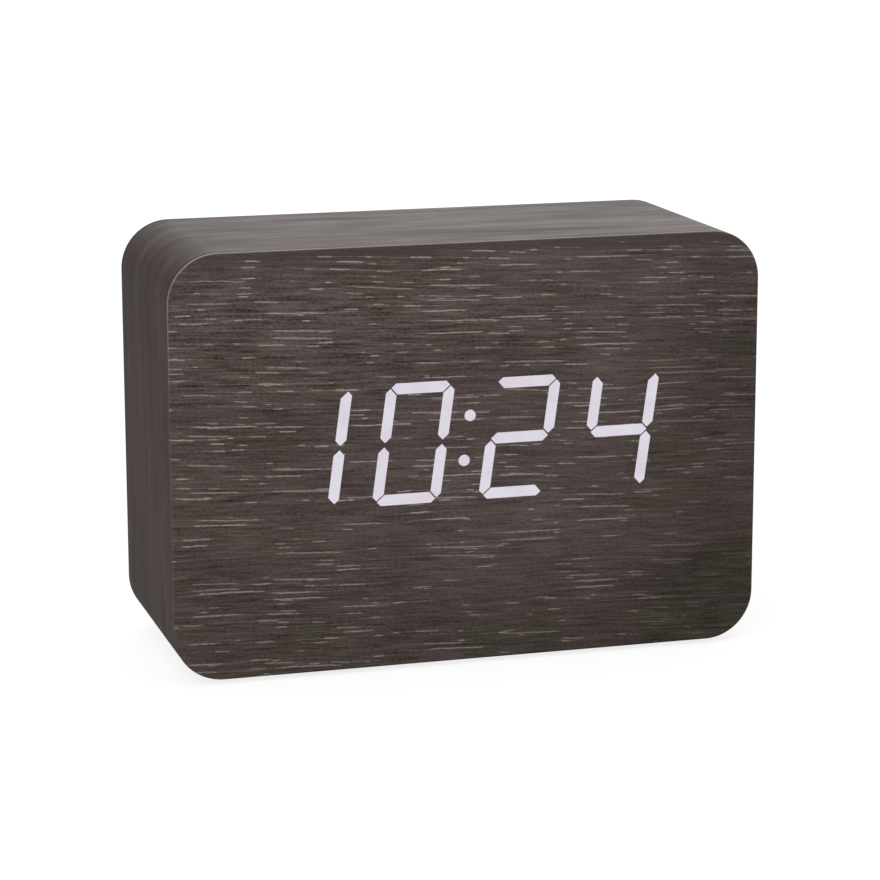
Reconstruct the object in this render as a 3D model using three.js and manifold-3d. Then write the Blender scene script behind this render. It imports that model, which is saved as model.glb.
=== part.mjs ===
// A radio-controlled alarm clock in a block of wood-look board, modelled as the pieces it comes apart into.
// Units are millimetres. +X is to the right as the display is read, +Y runs from the display to the back,
// and +Z is up.
// The origin lies under the middle of the case, on the surface that the feet stand on.
import * as THREE from "three";
import { mergeVertices } from "three/addons/utils/BufferGeometryUtils.js";
import Module from "manifold-3d";

const wasm = await Module();
wasm.setup();

// The case: a wooden sleeve and a front panel, covered with wood-look film
const caseWidth = 100;
const caseHeight = 70;
const caseDepth = 40;
const cornerRadius = 8.2;
const filmThickness = 0.4;
const filmGlue = 0.1;
const sleeveWall = 4.5;
const panelThickness = 2.6;
const cornerBlock = 7;

// The feet: four round rubber pads under the case
const footHeight = 0.8;
const footRadius = 4;
const footInsetX = 12;
const footInsetY = 9;

// The back plate, which sits in a rebate of the sleeve
const plateThickness = 2;
const plateRecess = 1;
const plateLedge = 1.6;
const plateGap = 0.3;

// The four countersunk screws that hold the back plate
const screwHeadRadius = 2.2;
const screwHeadHeight = 1.1;
const screwShankRadius = 1.1;
const screwLength = 9;
const screwTip = 1.5;
const screwClearance = 0.3;
const crossWidth = 0.6;
const crossLength = 2.6;
const crossDepth = 0.7;

// The display: four leaning seven-segment digits and a colon, which show 10:24
const digitSpace = 5.75;
const digitHeight = 20.15;
const segmentWidth = 1.76;
const segmentGap = 0.27;
const digitCornerCut = 1.5;
const displaySideGap = 2.865;
const colonRoom = 0.87;
const colonDotRadius = 0.93;
const colonSpread = 3.73;
const colonLift = 0.35;
const displayShift = -0.7;
const displayLift = 2.3;
const windowClearance = 0.05;
const lensBase = 0.8;
const lensMargin = 0.9;
const reflectorDepth = 6;
const reflectorMargin = 3;
const wellInset = 0.14;
const displayBoardMargin = 5;
const ledLength = 1.2;
const ledHeight = 0.6;
const stakeRadius = 1.2;
const stakeHeadRadius = 1.9;
const stakeHeadHeight = 0.7;
const stakeClearance = 0.3;

// The cells, which lie across the tray with their ends turned about
const cellRadius = 5.25;
const cellLength = 44.5;
const cellNubRadius = 1.9;
const cellNubHeight = 0.8;
const cellEdge = 0.5;
const cellSpace = 0.7;

// The battery tray, moulded behind the back plate's opening
const trayWall = 1.2;
const trayDepth = 11.2;
const traySideGap = 0.3;
const trayFloorGap = 0.5;
const hookRoom = 0.8;
const latchRoom = 3.6;
const cellFloorGap = 0.35;

// The contacts at the ends of the cells
const contactThickness = 0.4;
const contactWidth = 8.5;
const contactGap = 0.3;
const tagWidth = 3;
const tagLength = 2;
const springLength = 3.4;
const springWire = 0.4;
const springBaseRadius = 3.4;
const springTopRadius = 2.2;
const springPlateGap = 0.3;

// The battery door, its hooks and its springy latch
const doorThickness = 1.6;
const doorGap = 0.3;
const hookWidth = 6;
const hookArm = 1.7;
const hookLeg = 1;
const hookReach = 2;
const hookSpread = 30;
const hookClearance = 0.5;
const latchWidth = 11;
const latchLeg = 1;
const latchDepth = 6;
const latchSlit = 1.3;
const latchPad = 0.5;
const latchClearance = 0.3;
const thumbRadius = 5;
const thumbWidth = 13;
const thumbDepth = 1;
const ribHeight = 0.3;
const ribWidth = 0.7;
const ribPitch = 1.8;
const ribLength = 14;

// The main board, which stands above and beside the tray
const boardThickness = 1.6;
const boardSideGap = 0.5;
const boardEdgeGap = 1;
const boardTopGap = 1.3;
const boardFootGap = 4.2;

// The three buttons on the back and the switches that they press
const buttonWidth = 8.6;
const buttonHeight = 4.8;
const buttonProud = 0.7;
const buttonBevel = 0.3;
const buttonClearance = 0.25;
const buttonFlange = 0.8;
const buttonFlangeThickness = 1;
const buttonGap = 0.3;
const buttonTravel = 0.5;
const buttonStemRadius = 1.5;
const buttonPitch = 14;
const switchBody = 6;
const switchBodyHeight = 3.5;
const plungerRadius = 1.7;
const plungerProud = 1.5;
const plungerSunk = 1.5;
const plungerClearance = 0.3;

// The slide switch that turns the alarm on and off
const slideTravel = 2;
const slideCapWidth = 3.2;
const slideCapHeight = 4.2;
const slideCapProud = 0.6;
const slideStem = 1.6;
const slideClearance = 0.3;
const slidePocketDepth = 1.2;
const slideBodyWidth = 9;
const slideBodyHeight = 4.4;
const slideBodyDepth = 3.5;
const slideGrooveDepth = 1.2;
const slideRidge = 0.3;

// The buzzer behind its grille, and the microphone
const buzzerRadius = 6;
const buzzerHeight = 7;
const buzzerHole = 1;
const buzzerSeatWall = 1.2;
const buzzerSeatDepth = 3;
const buzzerClearance = 0.3;
const buzzerLift = -0.8;
const grilleHole = 0.6;
const grillePitch = 2.1;
const grilleRings = 2;
const microphoneRadius = 3;
const microphoneHeight = 2.7;
const microphoneHole = 0.6;

// The power socket
const socketWidth = 8.9;
const socketHeight = 3.2;
const socketWall = 0.35;
const socketBase = 1.2;
const socketRecess = 0.4;
const socketClearance = 0.3;
const socketFromFoot = 6.5;
const tongueWidth = 6.6;
const tongueHeight = 0.7;
const tongueRecess = 1.2;

// The posts and screws that hold the main board
const postRadius = 2.6;
const postSink = 0.4;
const boardScrewRadius = 0.9;
const boardScrewHead = 1.9;
const boardScrewHeadHeight = 1.1;
const boardScrewLength = 6;
const boardScrewInset = 3.6;

// The chips and small parts on the main board
const chipGap = 0.1;
const controllerArmShare = 0.595;
const controllerHeight = 1.5;
const controllerShift = 2;
const driverLength = 10.3;
const driverArmShare = 0.3155;
const driverHeight = 1.6;
const driverShift = 18;
const crystalRadius = 1.5;
const crystalArmShare = 0.476;
const crystalShift = -11;
const capacitorRadius = 2.5;
const capacitorHeight = 7;
const capacitorShift = -30;

// The time-signal receiver: a ferrite rod with its winding, two clips and a small board
const rodRadius = 4;
const rodEndGap = 8;
const rodHeight = 8.2;
const coilRadius = 5.4;
const coilLength = 22;
const coilClipGap = 2;
const coilClearance = 0.3;
const clipWidth = 4;
const clipWall = 1.6;
const clipClearance = 0.3;
const clipMouthShare = 0.8;
const clipInset = 6;
const receiverWidth = 18;
const receiverHeight = 14;
const receiverThickness = 1;
const receiverGap = 0.3;
const receiverBlobRadius = 3;
const receiverBlobHeight = 1;
const receiverRoom = 1.7;

// The wires inside the case
const leadRadius = 0.6;
const leadGap = 0.3;
const leadStep = 3;
const ribbonWidth = 14;
const ribbonThickness = 0.6;
const ribbonShift = 20;
const ribbonArmShare = 0.1786;

// Helpers' values: how far a cut overruns, the weld between joined solids and the mesh detail
const overrun = 1;
const weld = 0.2;
const mergeDistance = 0.0001;
const cornerSteps = 12;
const smallSteps = 4;
const roundSides = 20;
const holeSides = 12;
const tinySides = 10;
const leadSides = 8;
const springSides = 5;
const springSteps = 8;
const springTurns = 2.5;
const cellCount = 3;
const digitCount = 4;
const leanShare = 0.137;

// Planes and places worked out from the sizes
const frontY = -caseDepth / 2;
const backY = caseDepth / 2;
const caseMidZ = footHeight + caseHeight / 2;
const filmBackY = frontY + filmThickness;
const panelBackY = filmBackY + panelThickness;
const coreInset = filmThickness + filmGlue;
const cavityX = caseWidth / 2 - coreInset - sleeveWall;
const cavityZ = caseHeight / 2 - coreInset - sleeveWall;
const cavityFloorZ = caseMidZ - cavityZ;
const plateBackY = backY - plateRecess;
const plateFrontY = plateBackY - plateThickness;
const plateX = cavityX + plateLedge - plateGap;
const plateZ = cavityZ + plateLedge - plateGap;
const plateRadius = Math.max(cornerRadius - (caseWidth / 2 - plateX), segmentWidth);
const screwX = cavityX - cornerBlock / 2;
const screwZ = cavityZ - cornerBlock / 2;
const displayZ = caseMidZ + displayLift;
const displayBoardHalfWidth = cavityX - displaySideGap - Math.abs(displayShift);
const displayHalfWidth = displayBoardHalfWidth - displayBoardMargin;
const displayHalfHeight = digitHeight / 2 + reflectorMargin;
const digitPitch = (2 * displayHalfWidth - reflectorMargin - colonRoom) / digitCount;
const digitWidth = digitPitch - digitSpace;
const lensBackY = panelBackY + lensBase;
const reflectorBackY = lensBackY + reflectorDepth;
const displayBoardBackY = reflectorBackY + boardThickness;
const cellPitch = 2 * cellRadius + cellSpace;
const trayInnerWidth = cellLength + springLength + contactGap + 2 * contactThickness;
const trayInnerHeight = hookRoom + cellCount * cellPitch + latchRoom;
const trayRight = cavityX - cornerBlock - traySideGap - trayWall;
const trayLeft = trayRight - trayInnerWidth;
const trayMidX = (trayLeft + trayRight) / 2;
const trayBottom = cavityFloorZ + trayFloorGap + trayWall;
const trayTop = trayBottom + trayInnerHeight;
const trayFloorY = plateFrontY - trayDepth;
const cellY = trayFloorY + cellFloorGap + cellRadius;
const hingeY = plateBackY - doorThickness / 2;
const hingeZ = trayBottom + doorGap + doorThickness / 2;
const doorTop = trayTop - doorGap;
const hookDrop = doorThickness / 2 + doorGap + hookReach - hookLeg;
const hookSwing = Math.hypot(doorThickness / 2 + hookArm, hookDrop);
const plungerTopY = plateFrontY - buttonGap - buttonFlangeThickness - buttonStemRadius - buttonGap;
const boardBackY = plungerTopY - plungerProud - switchBodyHeight;
const boardFrontY = boardBackY - boardThickness;
const plungerFloorY = plungerTopY - plungerProud - plungerSunk - buttonTravel - plungerClearance;
const boardBottom = trayTop + trayWall + boardEdgeGap;
const boardTop = caseMidZ + cavityZ - boardTopGap;
const boardFoot = cavityFloorZ + boardFootGap;
const boardHalfWidth = cavityX - cornerBlock - boardSideGap;
const boardArmRight = trayLeft - trayWall - boardEdgeGap;
const armMidX = (boardArmRight - boardHalfWidth) / 2;
const buttonRowZ = (boardBottom + boardTop) / 2;
const armHeight = boardTop - boardBottom;
const controllerSize = controllerArmShare * armHeight;
const driverWidth = driverArmShare * armHeight;
const crystalLength = crystalArmShare * armHeight;
const ribbonLanding = ribbonArmShare * armHeight;
const slideLeft = armMidX - slideTravel / 2;
const plusButtonLeft = trayMidX - buttonPitch - buttonWidth / 2 - buttonFlange;
const microphoneX = (armMidX + slideBodyWidth / 2 + plusButtonLeft) / 2;
const buzzerZ = caseMidZ + buzzerLift;
const socketZ = boardFoot + socketFromFoot;
const rodY = (panelBackY + trayFloorY - trayWall) / 2;
const rodZ = cavityFloorZ + rodHeight;
const rodLength = 2 * (cavityX - cornerBlock - rodEndGap);
const clipX = rodLength / 2 - clipInset;
const coilShift = clipWidth / 2 - clipX + coilClipGap + coilLength / 2;

// A solid of a closed three.js geometry.
function solidOf(geometry) {
  const bare = geometry.clone();
  bare.deleteAttribute("normal");
  bare.deleteAttribute("uv");
  const merged = mergeVertices(bare, mergeDistance);
  return new wasm.Manifold(
    new wasm.Mesh({
      numProp: 3,
      vertProperties: merged.attributes.position.array,
      triVerts: new Uint32Array(merged.index.array),
    }),
  );
}

// The flat-shaded three.js geometry of a solid.
function geometryOf(solid) {
  const mesh = solid.getMesh();
  const shared = new THREE.BufferGeometry();
  shared.setAttribute("position", new THREE.BufferAttribute(new Float32Array(mesh.vertProperties), 3));
  shared.setIndex(new THREE.BufferAttribute(new Uint32Array(mesh.triVerts), 1));
  const flat = shared.toNonIndexed();
  flat.computeVertexNormals();
  return flat;
}

const join = (first, ...others) => others.reduce((all, next) => all.add(next), first);
const cut = (first, ...tools) => tools.reduce((all, tool) => all.subtract(tool), first);

// A box between two corners.
function box([x0, y0, z0], [x1, y1, z1]) {
  const geometry = new THREE.BoxGeometry(x1 - x0, y1 - y0, z1 - z0);
  geometry.translate((x0 + x1) / 2, (y0 + y1) / 2, (z0 + z1) / 2);
  return solidOf(geometry);
}

// An outline in the XZ plane, carried along Y from y0 to y1.
function prism(shape, y0, y1, steps = cornerSteps) {
  const geometry = new THREE.ExtrudeGeometry(shape, {
    depth: y1 - y0,
    bevelEnabled: false,
    curveSegments: steps,
  });
  geometry.rotateX(Math.PI / 2);
  geometry.translate(0, y1, 0);
  return solidOf(geometry);
}

// A straight-sided outline through points [x, z].
const polygon = (points) => new THREE.Shape(points.map(([x, z]) => new THREE.Vector2(x, z)));

// A rectangle with round corners, about a centre.
function roundedRectangle(width, height, radius, x = 0, z = 0) {
  const right = x + width / 2 - radius;
  const left = x - width / 2 + radius;
  const top = z + height / 2 - radius;
  const bottom = z - height / 2 + radius;
  const shape = new THREE.Shape();
  shape.absarc(right, top, radius, 0, Math.PI / 2);
  shape.absarc(left, top, radius, Math.PI / 2, Math.PI);
  shape.absarc(left, bottom, radius, Math.PI, 1.5 * Math.PI);
  shape.absarc(right, bottom, radius, 1.5 * Math.PI, 2 * Math.PI);
  shape.closePath();
  return shape;
}

// The case's outline, drawn in by an inset.
function caseOutline(inset) {
  return roundedRectangle(
    caseWidth - 2 * inset, caseHeight - 2 * inset, cornerRadius - inset, 0, caseMidZ);
}

// A cylinder along Y.
function rodAlongY(radius, y0, y1, x, z, sides = roundSides) {
  const geometry = new THREE.CylinderGeometry(radius, radius, y1 - y0, sides);
  geometry.translate(x, (y0 + y1) / 2, z);
  return solidOf(geometry);
}

// A cylinder along X.
function rodAlongX(radius, x0, x1, y, z, sides = roundSides) {
  const geometry = new THREE.CylinderGeometry(radius, radius, x1 - x0, sides);
  geometry.rotateZ(Math.PI / 2);
  geometry.translate((x0 + x1) / 2, y, z);
  return solidOf(geometry);
}

// A turned shape about its own Y axis, from points [radius, height].
function turned(points, sides = roundSides) {
  return new THREE.LatheGeometry(points.map(([r, y]) => new THREE.Vector2(r, y)), sides);
}

// A convex outline of [x, z] points, running anticlockwise, grown outwards by a distance.
function grown(points, distance) {
  const normals = points.map(([x, z], i) => {
    const [nextX, nextZ] = points[(i + 1) % points.length];
    const length = Math.hypot(nextX - x, nextZ - z);
    return [(nextZ - z) / length, (x - nextX) / length];
  });
  return points.map(([x, z], i) => {
    const [ax, az] = normals[(i + points.length - 1) % points.length];
    const [bx, bz] = normals[i];
    const share = distance / (1 + ax * bx + az * bz);
    return [x + (ax + bx) * share, z + (az + bz) * share];
  });
}

// The seven segments of one upright digit about its centre: a is the top bar, then clockwise to f,
// and g is the middle.
function segmentOutlines() {
  const w = digitWidth / 2;
  const h = digitHeight / 2;
  const t = segmentWidth;
  const c = digitCornerCut;
  const e = segmentGap / Math.SQRT2;
  const shoulder = 2 * e + t / 2;
  const a = [
    [c - w, h], [(c + e) / 2 - w, h - (c - e) / 2], [t + e - w, h - t],
    [w - t - e, h - t], [w - (c + e) / 2, h - (c - e) / 2], [w - c, h],
  ];
  const b = [
    [w, shoulder], [w, h - c], [w - (c - e) / 2, h - (c + e) / 2],
    [w - t, h - t - e], [w - t, shoulder], [w - t / 2, 2 * e],
  ];
  const g = [
    [t / 2 - w, 0], [t - w, -t / 2], [w - t, -t / 2],
    [w - t / 2, 0], [w - t, t / 2], [t - w, t / 2],
  ];
  const flipX = (points) => points.map(([x, z]) => [-x, z]).reverse();
  const flipZ = (points) => points.map(([x, z]) => [x, -z]).reverse();
  return { a, b, c: flipZ(b), d: flipZ(a), e: flipX(flipZ(b)), f: flipX(b), g };
}

const segments = segmentOutlines();
const litSegments = { 0: "abcdef", 1: "bc", 2: "abged", 4: "fgbc" };
const digits = [
  { name: "hour_tens_lens", shows: 1, place: -1.5 },
  { name: "hour_units_lens", shows: 0, place: -0.5 },
  { name: "minute_tens_lens", shows: 2, place: 0.5 },
  { name: "minute_units_lens", shows: 4, place: 1.5 },
];

// An upright outline about a digit's centre, leaned over and put in its place on the front.
function leaned(points, centreX) {
  return points.map(([x, z]) => [centreX + x + leanShare * z, displayZ + z]);
}

const digitX = ({ place }) => displayShift + place * digitPitch + Math.sign(place) * colonRoom / 2;

// Every segment of the display, with its digit and whether it is lit.
const allSegments = digits.flatMap((digit) =>
  Object.entries(segments).map(([letter, points]) => ({
    digit,
    letter,
    lit: litSegments[digit.shows].includes(letter),
    outline: leaned(points, digitX(digit)),
  })));

const colonDots = [colonSpread, -colonSpread].map((z) => ({
  x: displayShift + leanShare * (z + colonLift),
  z: displayZ + z + colonLift,
}));

function frontFilm() {
  const sheet = prism(caseOutline(0), frontY, filmBackY);
  const lit = allSegments.filter((segment) => segment.lit);
  const windows = lit.map(({ outline }) =>
    prism(polygon(grown(outline, windowClearance)), frontY - overrun, filmBackY + overrun));
  const dots = colonDots.map(({ x, z }) =>
    rodAlongY(colonDotRadius + windowClearance, frontY - overrun, filmBackY + overrun, x, z));
  return cut(sheet, ...windows, ...dots);
}

function wrapFilm() {
  return cut(
    prism(caseOutline(0), filmBackY, backY),
    prism(caseOutline(filmThickness), filmBackY - overrun, backY + overrun));
}

// The four places where the display board is staked to the front panel.
const stakes = [-1, 1].flatMap((sideX) => [-1, 1].map((sideZ) => ({
  x: displayShift + sideX * (displayHalfWidth + displayBoardMargin / 2),
  z: displayZ + sideZ * (displayHalfHeight - stakeHeadRadius),
})));

function frontPanel() {
  const sheet = prism(caseOutline(coreInset), filmBackY, panelBackY);
  const windows = allSegments.map(({ outline }) =>
    prism(polygon(grown(outline, windowClearance)), filmBackY - overrun, panelBackY + overrun));
  const dots = colonDots.map(({ x, z }) =>
    rodAlongY(colonDotRadius + windowClearance, filmBackY - overrun, panelBackY + overrun, x, z));
  const pillars = stakes.flatMap(({ x, z }) => [
    rodAlongY(stakeHeadRadius, panelBackY - weld, reflectorBackY, x, z, holeSides),
    rodAlongY(stakeRadius, panelBackY - weld, displayBoardBackY + stakeHeadHeight, x, z, holeSides),
    rodAlongY(stakeHeadRadius, displayBoardBackY, displayBoardBackY + stakeHeadHeight, x, z, holeSides),
  ]);
  return join(cut(sheet, ...windows, ...dots), ...pillars);
}

// One digit's lens: a thin base with seven raised bars, of which the lit ones reach the film's outer face.
function digitLens(digit) {
  const own = allSegments.filter((segment) => segment.digit === digit);
  const halfX = digitWidth / 2 + lensMargin;
  const halfZ = digitHeight / 2 + lensMargin;
  const rim = [[-halfX, -halfZ], [halfX, -halfZ], [halfX, halfZ], [-halfX, halfZ]];
  const base = prism(polygon(leaned(rim, digitX(digit))), panelBackY, lensBackY);
  const bars = own.map(({ outline, lit }) =>
    prism(polygon(outline), lit ? frontY : filmBackY, panelBackY + weld));
  return join(base, ...bars);
}

function colonLens() {
  const halfX = colonDotRadius + windowClearance;
  const halfZ = colonSpread + colonLift + colonDotRadius + lensMargin;
  const rim = [[-halfX, -halfZ], [halfX, -halfZ], [halfX, halfZ], [-halfX, halfZ]];
  const base = prism(polygon(leaned(rim, displayShift)), panelBackY, lensBackY);
  const dots = colonDots.map(({ x, z }) => rodAlongY(colonDotRadius, frontY, panelBackY + weld, x, z));
  return join(base, ...dots);
}

function reflector() {
  const block = box(
    [displayShift - displayHalfWidth, lensBackY, displayZ - displayHalfHeight],
    [displayShift + displayHalfWidth, reflectorBackY, displayZ + displayHalfHeight]);
  const wells = allSegments.map(({ outline }) =>
    prism(polygon(grown(outline, -wellInset)), lensBackY - overrun, reflectorBackY + overrun));
  const dots = colonDots.map(({ x, z }) =>
    rodAlongY(colonDotRadius, lensBackY - overrun, reflectorBackY + overrun, x, z, holeSides));
  return cut(block, ...wells, ...dots);
}

// The display board, with one small lamp soldered under the middle of each segment and colon dot.
function displayBoard() {
  const board = box(
    [displayShift - displayBoardHalfWidth, reflectorBackY, displayZ - displayHalfHeight],
    [displayShift + displayBoardHalfWidth, displayBoardBackY, displayZ + displayHalfHeight]);
  const holes = stakes.map(({ x, z }) => rodAlongY(
    stakeRadius + stakeClearance, reflectorBackY - overrun, displayBoardBackY + overrun, x, z, holeSides));
  const middle = (outline, axis) =>
    outline.reduce((sum, point) => sum + point[axis], 0) / outline.length;
  const centres = allSegments.map(({ outline }) =>
    ({ x: middle(outline, 0), z: middle(outline, 1) }));
  const lamps = [...centres, ...colonDots].map(({ x, z }) => box(
    [x - ledLength / 2, reflectorBackY - ledHeight, z - ledLength / 2],
    [x + ledLength / 2, reflectorBackY + weld, z + ledLength / 2]));
  return join(cut(board, ...holes), ...lamps);
}

// The sleeve: a ring of board with a solid block in each inner corner, and a rebate at the back
// for the plate.
function caseSleeve() {
  const bx = cavityX - cornerBlock;
  const bz = cavityZ - cornerBlock;
  const cavity = polygon([
    [-bx, -cavityZ], [bx, -cavityZ], [bx, -bz], [cavityX, -bz], [cavityX, bz], [bx, bz],
    [bx, cavityZ], [-bx, cavityZ], [-bx, bz], [-cavityX, bz], [-cavityX, -bz], [-bx, -bz],
  ].map(([x, z]) => [x, caseMidZ + z]));
  const rebate = roundedRectangle(
    2 * (plateX + plateGap), 2 * (plateZ + plateGap), plateRadius + plateGap, 0, caseMidZ);
  const pilots = backScrews.map(({ x, z }) => rodAlongY(
    screwShankRadius + screwClearance, plateBackY - screwLength - screwTip, plateFrontY + overrun,
    x, z, holeSides));
  return cut(
    prism(caseOutline(coreInset), panelBackY, backY),
    prism(cavity, panelBackY - overrun, backY + overrun),
    prism(rebate, plateFrontY, backY + overrun, smallSteps),
    ...pilots);
}

const backScrews = [
  { name: "back_screw_top_left", x: -screwX, z: caseMidZ + screwZ },
  { name: "back_screw_top_right", x: screwX, z: caseMidZ + screwZ },
  { name: "back_screw_bottom_left", x: -screwX, z: caseMidZ - screwZ },
  { name: "back_screw_bottom_right", x: screwX, z: caseMidZ - screwZ },
];

// A countersunk screw with a cross in its head, along Y with the head's face on the back plate's face.
function backScrew({ x, z }) {
  const top = plateBackY;
  const geometry = turned([
    [0, top - screwLength], [screwShankRadius, top - screwLength + screwTip],
    [screwShankRadius, top - screwHeadHeight], [screwHeadRadius, top], [0, top],
  ], holeSides);
  geometry.translate(x, 0, z);
  const arm = (dx, dz) => box(
    [x - dx / 2, top - crossDepth, z - dz / 2], [x + dx / 2, top + overrun, z + dz / 2]);
  return cut(solidOf(geometry), arm(crossLength, crossWidth), arm(crossWidth, crossLength));
}

const buttons = [
  { name: "set_button", place: 1 },
  { name: "minus_button", place: 0 },
  { name: "plus_button", place: -1 },
];
const buttonX = ({ place }) => trayMidX + place * buttonPitch;

function buttonOutline(button, growth) {
  const height = buttonHeight + 2 * growth;
  return roundedRectangle(
    buttonWidth + 2 * growth, height, height / 2 - mergeDistance, buttonX(button), buttonRowZ);
}

// The grille's holes stand in a hexagon of two rings about the middle one.
const grilleRows = Array.from({ length: 2 * grilleRings + 1 }, (_, i) => i - grilleRings);
const grilleHoles = grilleRows.flatMap((row) => {
  const count = 2 * grilleRings + 1 - Math.abs(row);
  return Array.from({ length: count }, (_, i) => ({
    x: armMidX + (i - (count - 1) / 2) * grillePitch,
    z: buzzerZ + row * grillePitch * Math.sin(Math.PI / 3),
  }));
});

const boardPosts = [
  { name: "board_screw_upper", x: boardHalfWidth - boardScrewInset, z: boardTop - boardScrewInset },
  {
    name: "board_screw_lower",
    x: boardScrewInset - boardHalfWidth,
    z: buzzerZ - buzzerRadius - boardScrewInset,
  },
];

// The back plate's holes: for screws, buttons, switch, socket, grille and microphone.
function plateHoles() {
  const before = plateFrontY - overrun;
  const after = plateBackY + overrun;
  const countersinks = backScrews.map(({ x, z }) => {
    const cone = new THREE.CylinderGeometry(
      screwHeadRadius + screwClearance + overrun, screwShankRadius + screwClearance,
      screwHeadHeight + overrun, holeSides);
    cone.translate(x, plateBackY + (overrun - screwHeadHeight) / 2, z);
    return solidOf(cone);
  });
  const shanks = backScrews.map(({ x, z }) =>
    rodAlongY(screwShankRadius + screwClearance, before, after, x, z, holeSides));
  const buttonHoles = buttons.map((button) =>
    prism(buttonOutline(button, buttonClearance), before, after, smallSteps));
  const socket = prism(roundedRectangle(
    socketWidth + 2 * socketClearance, socketHeight + 2 * socketClearance,
    socketHeight / 2 + socketClearance - mergeDistance, armMidX, socketZ), before, after, smallSteps);
  const grille = grilleHoles.map(({ x, z }) => rodAlongY(grilleHole, before, after, x, z, tinySides));
  const microphone = rodAlongY(microphoneHole, before, after, microphoneX, buttonRowZ, tinySides);
  const slotX = (slideStem + slideTravel) / 2 + slideClearance;
  const slotZ = slideStem / 2 + slideClearance;
  const slotMiddle = armMidX;
  const slot = box([slotMiddle - slotX, before, buttonRowZ - slotZ],
    [slotMiddle + slotX, after, buttonRowZ + slotZ]);
  const pocketX = (slideCapWidth + slideTravel) / 2 + slideClearance;
  const pocketZ = slideCapHeight / 2 + slideClearance;
  const pocket = box([slotMiddle - pocketX, plateBackY - slidePocketDepth, buttonRowZ - pocketZ],
    [slotMiddle + pocketX, after, buttonRowZ + pocketZ]);
  const thumb = rodAlongX(thumbRadius, trayMidX - thumbWidth / 2, trayMidX + thumbWidth / 2,
    plateBackY + thumbRadius - thumbDepth, trayTop, roundSides);
  return [...countersinks, ...shanks, ...buttonHoles, socket, ...grille, microphone, slot, pocket, thumb];
}

// Where each contact stands: its end of the tray, the cells that it touches, and which of them
// get its spring.
const contacts = [
  { name: "contact_negative", side: -1, cells: [0], springs: [0], tagCell: 0 },
  { name: "contact_link_right", side: 1, cells: [0, 1], springs: [1], tagCell: null },
  { name: "contact_link_left", side: -1, cells: [1, 2], springs: [2], tagCell: null },
  { name: "contact_positive", side: 1, cells: [2], springs: [], tagCell: 2 },
];
const cellZ = (i) => trayBottom + hookRoom + (i + 0.5) * cellPitch;
const trayEnd = (side) => (side < 0 ? trayLeft : trayRight);

// The back plate with the battery tray moulded behind its opening.
function backPlate() {
  const plate = prism(roundedRectangle(2 * plateX, 2 * plateZ, plateRadius, 0, caseMidZ),
    plateFrontY, plateBackY, smallSteps);
  const tray = box([trayLeft - trayWall, trayFloorY - trayWall, trayBottom - trayWall],
    [trayRight + trayWall, plateFrontY + weld, trayTop + trayWall]);
  const hollow = box([trayLeft, trayFloorY, trayBottom], [trayRight, plateBackY + overrun, trayTop]);
  const hookSlots = [-1, 1].map((side) => box(
    [trayMidX + side * hookSpread / 2 - hookWidth / 2 - hookClearance,
      hingeY - hookSwing - hookClearance, trayBottom - trayWall - overrun],
    [trayMidX + side * hookSpread / 2 + hookWidth / 2 + hookClearance,
      plateFrontY, trayBottom + overrun]));
  const tagSlots = contacts.filter(({ tagCell }) => tagCell !== null).map(({ side, tagCell }) => {
    const wall = trayEnd(side);
    const depth = contactThickness + contactGap;
    return box(
      [Math.min(wall, wall - side * depth), trayFloorY - trayWall - overrun,
        cellZ(tagCell) - tagWidth / 2 - contactGap],
      [Math.max(wall, wall - side * depth), trayFloorY + overrun,
        cellZ(tagCell) + tagWidth / 2 + contactGap]);
  });
  const seat = cut(
    rodAlongY(buzzerRadius + buzzerClearance + buzzerSeatWall,
      plateFrontY - buzzerSeatDepth, plateFrontY + weld, armMidX, buzzerZ),
    rodAlongY(buzzerRadius + buzzerClearance, plateFrontY - buzzerSeatDepth - overrun, plateFrontY,
      armMidX, buzzerZ));
  const posts = boardPosts.map(({ x, z }) => cut(
    rodAlongY(postRadius, boardBackY, plateFrontY + weld, x, z, holeSides),
    rodAlongY(boardScrewRadius + screwClearance, boardBackY - overrun,
      boardBackY + boardScrewLength - boardThickness + postSink, x, z, tinySides)));
  const body = cut(join(plate, tray, seat), hollow, ...hookSlots, ...tagSlots, ...plateHoles());
  return join(body, ...posts);
}

// One contact: a plate against the tray's end wall, with a coned wire spring for each cell whose minus end
// it touches.
function contact({ side, cells, springs, tagCell }) {
  const wall = trayEnd(side);
  const face = wall - side * contactThickness;
  const low = Math.min(wall, face);
  const high = Math.max(wall, face);
  const plate = box([low, cellY - contactWidth / 2, cellZ(cells[0]) - contactWidth / 2],
    [high, cellY + contactWidth / 2, cellZ(cells.at(-1)) + contactWidth / 2]);
  const tags = tagCell === null ? [] : [box(
    [low, trayFloorY - trayWall - tagLength, cellZ(tagCell) - tagWidth / 2],
    [high, cellY, cellZ(tagCell) + tagWidth / 2])];
  const coils = springs.map((i) => solidOf(coneSpring(face, -side, cellY, cellZ(i))));
  return join(plate, ...tags, ...coils);
}

// The points of a coned spring's wire: it leaves the plate straight, winds inwards and stops short
// of the cell.
function springPoints() {
  const straight = 2 * springWire;
  const climb = springLength - springPlateGap - straight - springWire / 2;
  const count = Math.round(springTurns * springSteps);
  const wound = Array.from({ length: count + 1 }, (_, i) => {
    const share = i / count;
    const angle = 2 * Math.PI * springTurns * share;
    const radius = springBaseRadius + (springTopRadius - springBaseRadius) * share;
    return new THREE.Vector3(straight + climb * share, radius * Math.cos(angle), radius * Math.sin(angle));
  });
  const root = [-weld, springWire].map((x) => new THREE.Vector3(x, springBaseRadius, 0));
  return [...root, ...wound];
}

// The least gap between one turn of the spring's wire and the next.
function springGap(points) {
  let least = Infinity;
  points.forEach((p, i) => points.slice(i + springSteps - 2).forEach((q) => {
    least = Math.min(least, p.distanceTo(q) - springWire);
  }));
  return least;
}

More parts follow.
